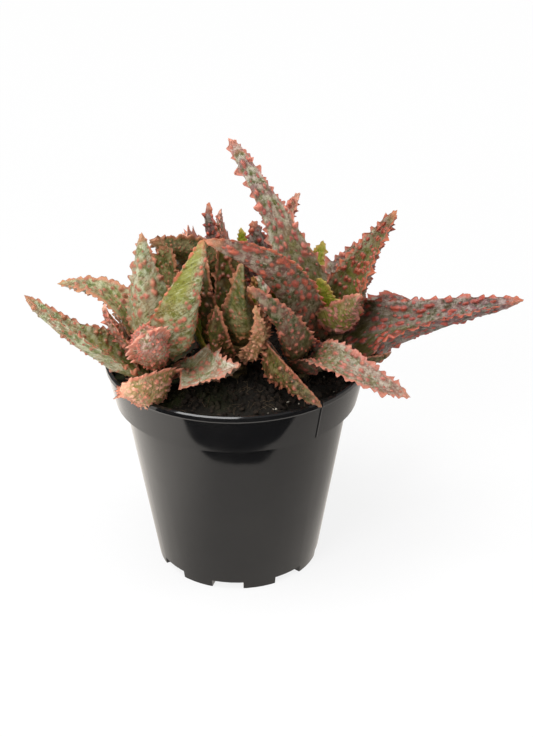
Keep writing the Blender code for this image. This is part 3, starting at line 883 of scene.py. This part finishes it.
def leaf_skin_group():
    """Leaf skin: mottled flesh, red warts and margins, a green heart and a dry tip, with painted
    shade and painted highlights laid over them.
    """
    inputs = [(name, COLOUR, GREY) for name in SKIN_COLOURS]
    inputs += [("Cast amount", NUMBER, 0.5), ("Shift", NUMBER, 0.0)]
    outputs = [("Color", COLOUR), ("Roughness", NUMBER), ("Height", NUMBER)]
    wires, start, end = group("Aloe skin", inputs, outputs)
    shifted = wires.node("VectorMath", {"operation": "ADD"})
    wires.feed(shifted.inputs[0], wires.place())
    wires.feed(shifted.inputs[1], start["Shift"])
    place = shifted.outputs[0]
    broad = wires.noise(place, 85.0, 2.0)
    middling = wires.noise(place, 170.0, 3.0, 0.6)
    patch = wires.noise(place, 300.0, 4.0, 0.6)
    spots = wires.noise(place, 640.0, 3.0, 0.6)
    grain = wires.noise(place, 1500.0, 3.0, 0.6)
    along, wart, edge = wires.stored("along"), wires.stored("wart"), wires.stored("edge")
    under, green = wires.stored("under"), wires.stored("green")
    drawn_out = wires.times(wires.stored("run"), 0.28)
    lengthwise = wires.node("CombineXYZ", X=drawn_out, Y=wires.stored("turn"), Z=start["Shift"])
    streak = wires.noise(lengthwise.outputs[0], 900.0, 4.0, 0.65)

    colour = wires.coat(start["Flesh"], start["Mottling"], patch, 0.42, 0.60)
    cast = wires.times(wires.span(middling, 0.42, 0.58), start["Cast amount"])
    cast = wires.times(cast, wires.span(along, 0.05, 0.55, 0.45, 1.0))
    colour = wires.mix(cast, colour, start["Cast"])
    colour = wires.coat(colour, start["Bloom and highlight"], patch, 0.52, 0.38, 0.6)
    colour = wires.coat(colour, start["Bloom and highlight"], spots, 0.50, 0.66, 0.65)
    heart = wires.times(green, wires.span(broad, 0.2, 0.5, 0.5, 0.9))
    colour = wires.mix(heart, colour, start["Heart"])
    # Painted shade in the streak's grooves and painted highlight on its ridges, which the bump
    # raises
    colour = wires.coat(colour, RIB_SHADE, streak, 0.50, 0.30, 0.7, "MULTIPLY")
    colour = wires.coat(colour, start["Bloom and highlight"], streak, 0.54, 0.70, 0.45)
    # The back is tinted and darkened towards the cast: partly its own colour, partly painted shade
    colour = wires.mix(wires.times(under, 0.22), colour, start["Cast"], "MULTIPLY")
    # Painted shade towards the root, deep in the rosette
    colour = wires.coat(colour, ROOT_SHADE, along, 0.45, 0.0, 0.4, "MULTIPLY")
    # Painted shade in the fine pits that the bump sinks
    colour = wires.coat(colour, PORE_SHADE, grain, 0.46, 0.30, 0.7, "MULTIPLY")

    uneven = wires.add(wires.swing(spots, 0.9), wires.swing(streak, 0.5))
    raised = wires.add(wart, uneven)
    # Round each wart a ring of pink cast and dark mottling: the pink is its own colour, the dark is
    # painted shadow
    halo_and_shadow = wires.mix(0.5, start["Cast"], start["Mottling"])
    colour = wires.coat(colour, halo_and_shadow, raised, 0.16, 0.52, 0.65)
    ripe = wires.coat(start["Wart"], start["Margin"], middling, 0.40, 0.62)
    ripe = wires.coat(ripe, RIPE_WART, patch, 0.58, 0.42, 0.35)
    colour = wires.coat(colour, ripe, raised, 0.46, 0.70, 0.95)
    rim = wires.span(wires.add(edge, wires.swing(patch, 0.9)), 0.30, 0.85)
    edging = wires.coat(start["Margin"], RIPE_MARGIN, patch, 0.56, 0.40, 0.4)
    edging = wires.coat(edging, start["Tip"], edge, 0.72, 1.0, 0.7)
    colour = wires.mix(rim, colour, edging)
    spent = wires.span(wires.add(along, wires.swing(patch, 0.16)), 0.88, 0.99)
    colour = wires.mix(wires.times(spent, 0.85), colour, start["Tip"])
    # A painted sheen on the fine grain's raised spots
    colour = wires.coat(colour, PAINTED_SHEEN, grain, 0.30, 0.75, 0.3, "SOFT_LIGHT")
    wires.feed(end["Color"], colour)
    wires.feed(end["Roughness"], wires.span(grain, 0.3, 0.7, 0.34, 0.52))
    pores = wires.cells(place, 1300.0)
    height = wires.add(wires.times(grain, 0.7), wires.times(pores, 0.3))
    wires.feed(end["Height"], wires.add(height, wires.times(streak, 1.8)))
    return wires.tree


def shaded(name, roughness=0.5, specular=0.5):
    """A new material, its wires and its shader."""
    material = bpy.data.materials.new(name)
    material.use_nodes = True
    shader = material.node_tree.nodes["Principled BSDF"]
    shader.inputs["Roughness"].default_value = roughness
    shader.inputs["Specular IOR Level"].default_value = specular
    return material, Wires(material.node_tree), shader


def bumped(wires, shader, height, depth):
    """Raises a surface by a height field, whose steps of 1 are as deep as the depth."""
    bump = wires.node("Bump", Height=height, Distance=depth)
    wires.feed(shader.inputs["Normal"], bump.outputs[0])


def leaf_material(finish, skin, shift):
    """The skin of the leaves that share a finish, its pattern shifted from the other finishes'."""
    material, wires, shader = shaded(finish + "_leaf_skin")
    flesh, amount, trim = FINISHES[finish]
    made = wires.node("Group", {"node_tree": skin}, Cast_amount=amount, Shift=shift)
    for name, code in zip(SKIN_COLOURS, flesh.split() + trim.split()):
        made.inputs[name].default_value = hue(code)
    wires.feed(shader.inputs["Base Color"], made.outputs["Color"])
    wires.feed(shader.inputs["Roughness"], made.outputs["Roughness"])
    bumped(wires, shader, made.outputs["Height"], depth=0.16 * MM)
    return material


def grit_group():
    """Crumbly ground: near-black patches of painted shade, light grains, moss towards the left, and
    their height.
    """
    inputs = [(name, COLOUR, GREY) for name in ("Ground", "Light grain", "Moss")]
    inputs += [("Moss amount", NUMBER, 0.0)]
    outputs = [("Color", COLOUR), ("Height", NUMBER)]
    wires, start, end = group("Peat grain", inputs, outputs)
    place = wires.place()
    fine = wires.noise(place, 1400.0, 5.0, 0.7)
    coarse = wires.noise(place, 330.0, 4.0, 0.65)
    broad = wires.noise(place, 60.0, 2.0)
    # Near-black patches: painted shade of the peat's hollows
    painted_hollow_shade = (0.004, 0.003, 0.002, 1)
    colour = wires.coat(start["Ground"], painted_hollow_shade, coarse, 0.35, 0.7, 0.8)
    colour = wires.coat(colour, start["Light grain"], fine, 0.56, 0.74, 0.6)
    split = wires.node("SeparateXYZ", Vector=place)
    leftward = wires.span(split.outputs["X"], 10 * MM, -30 * MM)
    moss = wires.times(wires.span(broad, 0.42, 0.6), leftward)
    moss = wires.times(moss, start["Moss amount"])
    colour = wires.mix(moss, colour, start["Moss"])
    wires.feed(end["Color"], colour)
    wires.feed(end["Height"], wires.add(fine, coarse))
    return wires.tree


def ground_material(name, grit, ground, grain, moss_amount):
    """Peat, or the crumbs that lie on it."""
    material, wires, shader = shaded(name, roughness=0.88, specular=0.3)
    made = wires.node(
        "Group", {"node_tree": grit},
        Ground=ground, Light_grain=grain, Moss=hue("3d4420"), Moss_amount=moss_amount,
    )
    wires.feed(shader.inputs["Base Color"], made.outputs["Color"])
    bumped(wires, shader, made.outputs["Height"], depth=0.5 * MM)
    return material


# ---------------------------------------------------------------- operators


ROUNDING = 0.3 * MM  # of the pot's edges
BAND_RADIUS = RIM_RADIUS - 5 * MM  # of the wide band, where the mould's seam shows


class ALOE_OT_pot(bpy.types.Operator):
    """Builds the glossy nursery pot"""

    bl_idname = "aloe.pot"
    bl_label = "Pot"

    def execute(self, context):
        looks = context.scene.aloe_pot
        pot = merged_copy("pot", "pot_shell")
        corner = {"limit_method": "ANGLE", "angle_limit": math.radians(22)}
        modified(pot, "BEVEL", width=ROUNDING, segments=3, **corner)
        bpy.ops.object.shade_smooth_by_angle(angle=math.radians(30))
        modified(pot, "WEIGHTED_NORMAL", keep_sharp=True)
        finish_piece(pot, self.plastic(looks), "pot_plastic", "pot")
        return {"FINISHED"}

    def plastic(self, looks):
        """Polished black plastic with faint flow marks, fine dust and the mould's seam."""
        material, wires, shader = shaded("polished_black_plastic", looks.polish)
        place = wires.place()
        split = wires.node("SeparateXYZ", Vector=place).outputs
        squares = [wires.math("POWER", split[axis], 2.0) for axis in "XY"]
        radius = wires.math("SQRT", wires.add(*squares))
        flow = wires.noise(place, 22.0, 2.0)
        dust = wires.noise(place, 900.0, 4.0, 0.7)
        specks = wires.span(dust, 0.66, 0.80)
        smear = wires.span(wires.noise(place, 40.0, 3.0), 0.45, 0.75)
        dusty = wires.add(wires.times(specks, 0.10), wires.times(smear, 0.012))
        colour = wires.mix(dusty, looks.plastic, hue("8a8378"))
        wires.feed(shader.inputs["Base Color"], colour)
        gloss = wires.add(wires.times(smear, 0.03), looks.polish)
        gloss = wires.add(gloss, wires.times(specks, 0.2))
        wires.feed(shader.inputs["Roughness"], gloss)
        cos, sin = math.cos(looks.seam_angle), math.sin(looks.seam_angle)
        beside = wires.add(wires.times(split["X"], -sin), wires.times(split["Y"], cos))
        ahead = wires.add(wires.times(split["X"], cos), wires.times(split["Y"], sin))
        seam = wires.span(wires.math("ABSOLUTE", beside), 0.75 * MM, 0.25 * MM)
        seam = wires.times(seam, wires.math("GREATER_THAN", ahead, 0.0))
        seam = wires.times(seam, wires.span(radius, BAND_RADIUS - MM, BAND_RADIUS))
        wires.feed(shader.inputs["Specular IOR Level"], wires.span(seam, 0.0, 1.0, 0.5, 0.06))
        height = wires.add(wires.times(flow, 1.6), wires.times(seam, 0.8))
        bumped(wires, shader, height, depth=0.25 * MM)
        return material


def on_disc(rng, radius):
    """A random place on a disc, evenly spread."""
    angle, out = rng.uniform(0, 2 * math.pi), radius * math.sqrt(rng.uniform())
    return out * math.cos(angle), out * math.sin(angle)


LUMPS_TO_METRE, CRUMBS_TO_METRE = 150, 620


def lump_height(x, y):
    """Height of the lumps at a place, against their usual height."""
    place = Vector((x, y, 0.0))
    lump = noise.fractal(place * LUMPS_TO_METRE, 0.9, 2.1, 4)
    crumb = noise.fractal(place * CRUMBS_TO_METRE + Vector((3, 7, 1)), 0.8, 2.0, 3)
    return lump * 0.62 + crumb * 0.38


def heap_height(x, y):
    """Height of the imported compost's smooth top at a place."""
    share = min(1.0, math.hypot(x, y) / COMPOST_RADIUS)
    return TOP_EDGE + (COMPOST_HIGH.z - TOP_EDGE) * (1 - share**2)


def edge_of_compost():
    """Height of the compost's top where it meets the pot."""
    heights = [
        vert.co.z for vert in frame["nodes"]["compost"].data.vertices
        if math.hypot(vert.co.x, vert.co.y) > COMPOST_RADIUS - 0.1 * MM
    ]
    return max(heights)


TOP_EDGE = edge_of_compost()
HEAP_CUTS = 13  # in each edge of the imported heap's top
SCATTER_SEED = 5
# The least and the most, and the patch's middle and spread across and deep, in millimetres
CRUMB_SIZES, GRAIN_SIZES = (0.35, 1.25), (0.4, 0.95)
PATCH = (27, 7), (-43, 4)
CLEAR_OF_POT = 2.5 * MM


class ALOE_OT_compost(bpy.types.Operator):
    """Builds the lumpy compost, with crumbs, pale grains and fibres lying on it"""

    bl_idname = "aloe.compost"
    bl_label = "Compost"

    def execute(self, context):
        looks = context.scene.aloe_compost
        grit = grit_group()
        peat = ground_material("moist_peat", grit, looks.peat, hue("4d3f2e"), moss_amount=0.55)
        finish_piece(self.heap(looks), peat, "compost", "compost")
        rng = np.random.default_rng(SCATTER_SEED)
        crumbs = self.scatter("compost_crumbs", looks.crumbs, CRUMB_SIZES, rng, looks)
        loose = ground_material("peat_crumbs", grit, hue("2a2119"), hue("6a563f"), moss_amount=0.3)
        finish_piece(crumbs, loose, "compost")
        grains = self.scatter("perlite_grains", looks.perlite, GRAIN_SIZES, rng, looks, PATCH)
        white, wires, shader = self.grained("perlite", 0.8, 900.0, ("cfc8b8", "8d8474"))
        bumped(wires, shader, wires.cells(wires.place(), 2200.0), depth=0.2 * MM)
        finish_piece(grains, white, "compost")
        brown = self.grained("peat_fibre", 0.7, 300.0, ("31261b", "6b5940"))[0]
        finish_piece(self.fibres(looks, rng), brown, "compost")
        return {"FINISHED"}

    def heap(self, looks):
        """The filling, with lumps all over its top."""
        soil = merged_copy("compost", "compost_heap")
        only(soil)
        bpy.ops.object.mode_set(mode="EDIT")
        bpy.ops.mesh.select_all(action="DESELECT")
        bpy.ops.object.mode_set(mode="OBJECT")
        for face in soil.data.polygons:
            face.select = face.normal.z > 0.8 and face.center.z > TOP_EDGE - MM
        bpy.ops.object.mode_set(mode="EDIT")
        bpy.ops.mesh.select_mode(type="FACE")
        bpy.ops.mesh.subdivide(number_cuts=HEAP_CUTS)
        bpy.ops.object.mode_set(mode="OBJECT")
        for vert in soil.data.vertices:
            place = vert.co
            out = math.hypot(place.x, place.y)
            if place.z > TOP_EDGE - WELD and out < COMPOST_RADIUS - 5 * WELD:
                calm = min(1.0, (COMPOST_RADIUS - out) / (2 * MM))
                smooth = heap_height(place.x, place.y)
                place.z = smooth + calm * looks.lumps * lump_height(place.x, place.y)
        soil.data.shade_smooth()
        return soil

    def grained(self, name, roughness, scale, tones):
        """A material of two tones in grains, its wires and its shader."""
        material, wires, shader = shaded(name, roughness)
        tone = wires.mix(wires.noise(wires.place(), scale), *map(hue, tones))
        wires.feed(shader.inputs["Base Color"], tone)
        return material, wires, shader

    def top(self, x, y, looks):
        """Height of the compost's lumpy top at a place."""
        return heap_height(x, y) + looks.lumps * lump_height(x, y)

    def scatter(self, name, count, sizes, rng, looks, patch=None):
        """Many small broken lumps on the compost, as one piece, with half of them in any patch."""
        bpy.ops.object.select_all(action="DESELECT")
        bpy.ops.mesh.primitive_ico_sphere_add(subdivisions=2, radius=1.0)
        seed = bpy.context.active_object
        shape = np.array([vert.co for vert in seed.data.vertices])
        faces = np.array([face.vertices for face in seed.data.polygons])
        bpy.data.objects.remove(seed)
        corners, skins = [], []
        for k in range(count):
            x, y = on_disc(rng, COMPOST_RADIUS - CLEAR_OF_POT)
            if patch and k % 2:
                x, y = (rng.normal(*spread) * MM for spread in patch)
                if math.hypot(x, y) > COMPOST_RADIUS - CLEAR_OF_POT:
                    continue
            size = rng.uniform(*sizes) ** 1.6 * MM  # more small ones than large
            rough = 1 + 0.28 * ripples(shape, rng, 2.2) + rng.uniform(-0.12, 0.12, len(shape))
            stretched = shape * rough[:, None] * rng.uniform(0.6, 1.3, 3)
            turn = np.array(Matrix.Rotation(rng.uniform(0, 6.28), 3, Vector(rng.normal(size=3))))
            z = self.top(x, y, looks) + 0.3 * size
            corners.append(stretched @ turn.T * size + (x, y, z))
            skins.append(faces + len(shape) * len(skins))
        return new_piece(name, np.concatenate(corners).tolist(), np.concatenate(skins).tolist())

    def fibres(self, looks, rng):
        """Thin bent fibres lying on the compost, as one piece."""
        sides, steps = 5, 8
        corners, skins = [], []
        for _ in range(looks.fibres):
            x, y = on_disc(rng, COMPOST_RADIUS - 6 * MM)
            heading, bend = rng.uniform(0, 2 * math.pi), rng.uniform(-0.13, 0.13)
            stride = rng.uniform(2, 8) * MM / steps
            thick = rng.uniform(0.06, 0.16) * MM
            lift = rng.uniform(0.1, 1.2) * MM
            base = len(corners)
            for step in range(steps + 1):
                share = step / steps
                z = self.top(x, y, looks) + 0.15 * MM
                z += lift * math.sin(math.pi * share)
                across = Vector((-math.sin(heading), math.cos(heading), 0))
                slim = thick * (1 - 0.6 * share)
                for side in range(sides):
                    angle = 2 * math.pi * side / sides
                    corner = across * math.cos(angle) * slim
                    corners.append((x + corner.x, y + corner.y, z + math.sin(angle) * slim))
                x, y = x + math.cos(heading) * stride, y + math.sin(heading) * stride
                if math.hypot(x, y) > COMPOST_RADIUS - 2 * MM:
                    heading += math.pi / 2
                heading += bend
            for step in range(steps):
                row = base + step * sides
                for side in range(sides):
                    here, beside = row + side, row + (side + 1) % sides
                    skins.append((here, beside, beside + sides, here + sides))
            skins.append(tuple(range(base + sides - 1, base - 1, -1)))
            last = base + steps * sides
            skins.append(tuple(range(last, last + sides)))
        return new_piece("peat_fibres", corners, skins)


SCAR_WAVE = 1700.0  # radians to a metre, of the rings of old leaf scars
BUD = 8 * MM  # how much of a stem's top narrows into its bud
BUD_RISE = 5 * MM


class ALOE_OT_stems(bpy.types.Operator):
    """Builds the short stems with their rings of old leaf scars and a twisted bud on top"""

    bl_idname = "aloe.stems"
    bl_label = "Stems"

    def execute(self, context):
        material = self.bark()
        for node in sorted(name for name in frame["nodes"] if name.endswith("_stem")):
            finish_piece(self.stem(node), material, "stem_skin", node)
        return {"FINISHED"}

    def bark(self):
        """Brown, with the rings of old leaf scars, and green where the bud is."""
        material, wires, shader = shaded("dry_stem_skin", roughness=0.8, specular=0.3)
        place = wires.place()
        height = wires.node("SeparateXYZ", Vector=place).outputs["Z"]
        fray = wires.noise(place, 420.0, 4.0, 0.7)
        uneven = wires.add(wires.times(height, SCAR_WAVE), wires.times(fray, 5.0))
        rings = wires.math("SINE", uneven)
        rings = wires.times(rings, wires.span(wires.stored("young"), 0.0, 0.5, 1.0, 0.0))
        tone = wires.coat(hue("4a3c26"), hue("7b6a44"), fray, 0.3, 0.7)
        tone = wires.coat(tone, hue("2c2417"), rings, 0.2, 0.9, 0.7)
        young = wires.coat(hue("7d8a35"), hue("96663c"), fray, 0.35, 0.6)
        tone = wires.mix(wires.stored("young"), tone, young)
        wires.feed(shader.inputs["Base Color"], tone)
        bumped(wires, shader, wires.add(rings, fray), depth=0.5 * MM)
        return material

    def stem(self, node):
        """One stem, ringed with scars and drawn out into a twisted bud."""
        piece = merged_copy(node, node + "_bark")
        in_edit(piece, bpy.ops.mesh.subdivide, number_cuts=4)
        low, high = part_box(node)
        middle = (low + high) / 2
        young = []
        for vert in piece.data.vertices:
            away = Vector((vert.co.x - middle.x, vert.co.y - middle.y, 0))
            if away.length > MM:
                vert.co += away.normalized() * 0.25 * MM * math.sin(vert.co.z * SCAR_WAVE)
            share = min(max((vert.co.z - high.z) / BUD + 1, 0), 1)
            swirl = 0.35 * share * math.cos(3 * math.atan2(away.y, away.x) + 500 * vert.co.z)
            vert.co += away * ((1 - 0.85 * share**1.4) * (1 + swirl) - 1)
            vert.co.z += BUD_RISE * share**3
            young.append(min(1.0, 1.6 * share))
        keep_values(piece.data, young=young)
        only(piece)
        bpy.ops.object.shade_smooth_by_angle(angle=math.radians(50))
        return piece


SKIN_SHIFT = 0.37  # how far each finish's pattern lies from the one before, in metres


class ALOE_OT_leaves(bpy.types.Operator):
    """Grows each leaf's skin over its node, with teeth along its margins and warts on its faces"""

    bl_idname = "aloe.leaves"
    bl_label = "Leaves"

    def execute(self, context):
        sizes = context.scene.aloe_leaves
        names = sorted(name for name in frame["nodes"] if "_leaf_" in name)
        missing = set(names) ^ set(LOOKS)
        if missing:
            raise RuntimeError("leaves and looks differ: " + ", ".join(sorted(missing)))
        skin = leaf_skin_group()
        materials = {}
        for k, finish in enumerate(FINISHES):
            materials[finish] = leaf_material(finish, skin, SKIN_SHIFT * k)
        for k, name in enumerate(names):
            look = LOOKS[name]
            rng = np.random.default_rng([sizes.seed, k])
            piece = grow_leaf(name, look, sizes, rng)
            finish_piece(piece, materials[look.finish], "leaf_skin", name)
        return {"FINISHED"}


# Name, place, size and share of the power
LAMPS = (
    ("overhead_lamp", (-0.35, -0.25, 1.5), 0.9, 1.0),
    ("left_front_lamp", (-0.8, -1.2, 0.9), 0.8, 0.85),
    ("right_lamp", (1.3, -0.2, 0.8), 0.9, 0.3),
)
LAMPS_AIM = Vector((0, 0, 0.11))
FLOOR_SIZE, FLOOR_DROP = 12.0, 0.05 * MM
CAMERA_PLACE = (0, -0.611, 0.418)
CAMERA_LENS, SENSOR_HEIGHT = 73.3, 36.0
CAMERA_TURNS = (("Z", -1.3), ("X", 90 - 27.8), ("Z", -0.15))  # aside, up and its own lean


class ALOE_OT_stage(bpy.types.Operator):
    """Sets the pale floor, the soft lamps and the camera"""

    bl_idname = "aloe.stage"
    bl_label = "Stage"

    def execute(self, context):
        looks = context.scene.aloe_stage
        scene = context.scene
        scene.view_settings.view_transform = "Standard"
        self.floor(looks)
        self.sky(scene, looks)
        for name, place, size, share in LAMPS:
            self.lamp(name, place, size, looks.lamp * share)
        self.camera(scene)
        return {"FINISHED"}

    def floor(self, looks):
        """A pale floor that stays white to the camera, and that glows for glossy rays as a painted
        reflection in the pot.
        """
        bpy.ops.object.select_all(action="DESELECT")
        bpy.ops.mesh.primitive_plane_add(size=FLOOR_SIZE, location=(0, 0, -FLOOR_DROP))
        floor = bpy.context.active_object
        floor.name = "floor"
        bpy.ops.object.transform_apply(location=True, rotation=False, scale=False)
        material, wires, shader = shaded("pale_floor", roughness=0.9, specular=0.0)
        shader.inputs["Base Color"].default_value = looks.floor
        glow = wires.node("Emission", Color=WHITE, Strength=1.0)
        path = wires.node("LightPath").outputs
        place = wires.place()
        far = wires.node("VectorMath", {"operation": "LENGTH"})
        wires.feed(far.inputs[0], place)
        # The camera sees a white floor that keeps the object's shadow
        pale = wires.span(far.outputs["Value"], 0.1, 0.7, 0.84, 0.98)
        seen = wires.mix_shaders(pale, shader, glow)
        first = wires.mix_shaders(path["Is Camera Ray"], shader, seen)
        last = wires.mix_shaders(path["Is Glossy Ray"], first, self.mirrored(wires, place))
        wires.feed(material.node_tree.nodes["Material Output"].inputs["Surface"], last.outputs[0])
        floor.data.materials.append(material)

    def mirrored(self, wires, place):
        """Painted reflection for the polished pot: a glow that only glossy rays see, warm white,
        brighter at the left, and dark further out.
        """
        split = wires.node("SeparateXYZ", Vector=place).outputs
        aside = wires.math("ABSOLUTE", split["X"])
        edge = wires.span(aside, 5 * MM, 100 * MM, 114.4 * MM, 97 * MM)
        beyond = wires.span(wires.add(split["Y"], edge), MM, -MM)
        level = wires.span(split["X"], -110 * MM, -20 * MM, 1.45, 0.85)
        level = wires.times(level, wires.span(split["X"], 0.0, 120 * MM, 1.0, 0.8))
        level = wires.times(level, wires.span(beyond, 0.0, 1.0, 1.0, 0.01))
        return wires.node("Emission", Color=(1.0, 0.94, 0.87, 1), Strength=level)

    def sky(self, scene, looks):
        """Even light from all round, and white behind the object."""
        world = bpy.data.worlds.new("studio")
        scene.world = world
        world.use_nodes = True
        wires = Wires(world.node_tree)
        even = world.node_tree.nodes["Background"]
        even.inputs["Color"].default_value = WHITE
        even.inputs["Strength"].default_value = looks.fill
        white = wires.node("Background", Color=WHITE, Strength=1.0)
        path = wires.node("LightPath").outputs
        shown = wires.math("MAXIMUM", path["Is Camera Ray"], path["Is Transmission Ray"])
        either = wires.mix_shaders(shown, even, white)
        wires.feed(world.node_tree.nodes["World Output"].inputs["Surface"], either.outputs[0])

    def lamp(self, name, place, size, power):
        """A soft round lamp that faces the middle of the object."""
        bpy.ops.object.light_add(type="AREA", location=place)
        lamp = bpy.context.active_object
        lamp.name = name
        lamp.data.shape = "DISK"
        lamp.data.size = size
        lamp.data.energy = power
        aim = LAMPS_AIM - Vector(place)
        lamp.rotation_euler = aim.to_track_quat("-Z", "Y").to_euler()

    def camera(self, scene):
        """The camera, in front of the object and above it."""
        bpy.ops.object.camera_add(location=CAMERA_PLACE)
        camera = bpy.context.active_object
        camera.name = "camera"
        camera.data.sensor_fit = "VERTICAL"
        camera.data.sensor_height = SENSOR_HEIGHT
        camera.data.lens = CAMERA_LENS
        camera.data.clip_start = 0.01
        turn = Matrix.Identity(3)
        for axis, degrees in CAMERA_TURNS:
            turn = turn @ Matrix.Rotation(math.radians(degrees), 3, axis)
        camera.rotation_euler = turn.to_euler()
        scene.camera = camera


class ALOE_PT_panel(bpy.types.Panel):
    """Lists the aloe's pieces and their settings"""

    bl_idname = "ALOE_PT_panel"
    bl_label = "Potted aloe"
    bl_space_type = "VIEW_3D"
    bl_region_type = "UI"
    bl_category = "Aloe"

    def draw(self, context):
        for operator, held in PIECES:
            column = self.layout.column(align=True)
            column.operator(operator.bl_idname)
            if held:
                looks = getattr(context.scene, held)
                for name in looks.bl_rna.properties.keys():
                    if name not in ("rna_type", "name"):
                        column.prop(looks, name)


PIECES = (
    (ALOE_OT_pot, "aloe_pot"),
    (ALOE_OT_compost, "aloe_compost"),
    (ALOE_OT_stems, None),
    (ALOE_OT_leaves, "aloe_leaves"),
    (ALOE_OT_stage, "aloe_stage"),
)
GROUPS = {
    "aloe_pot": PotLooks,
    "aloe_compost": CompostLooks,
    "aloe_leaves": LeafSizes,
    "aloe_stage": StageLooks,
}


def register():
    for kind in GROUPS.values():
        bpy.utils.register_class(kind)
    for operator, _ in PIECES:
        bpy.utils.register_class(operator)
    bpy.utils.register_class(ALOE_PT_panel)
    for name, kind in GROUPS.items():
        setattr(bpy.types.Scene, name, bpy.props.PointerProperty(type=kind))


def unregister():
    for name in GROUPS:
        delattr(bpy.types.Scene, name)
    bpy.utils.unregister_class(ALOE_PT_panel)
    for operator, _ in reversed(PIECES):
        bpy.utils.unregister_class(operator)
    for kind in GROUPS.values():
        bpy.utils.unregister_class(kind)


def main():
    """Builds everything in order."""
    register()
    bpy.ops.aloe.pot()
    bpy.ops.aloe.compost()
    bpy.ops.aloe.stems()
    bpy.ops.aloe.leaves()
    bpy.ops.aloe.stage()


if __name__ == "__main__":
    main()
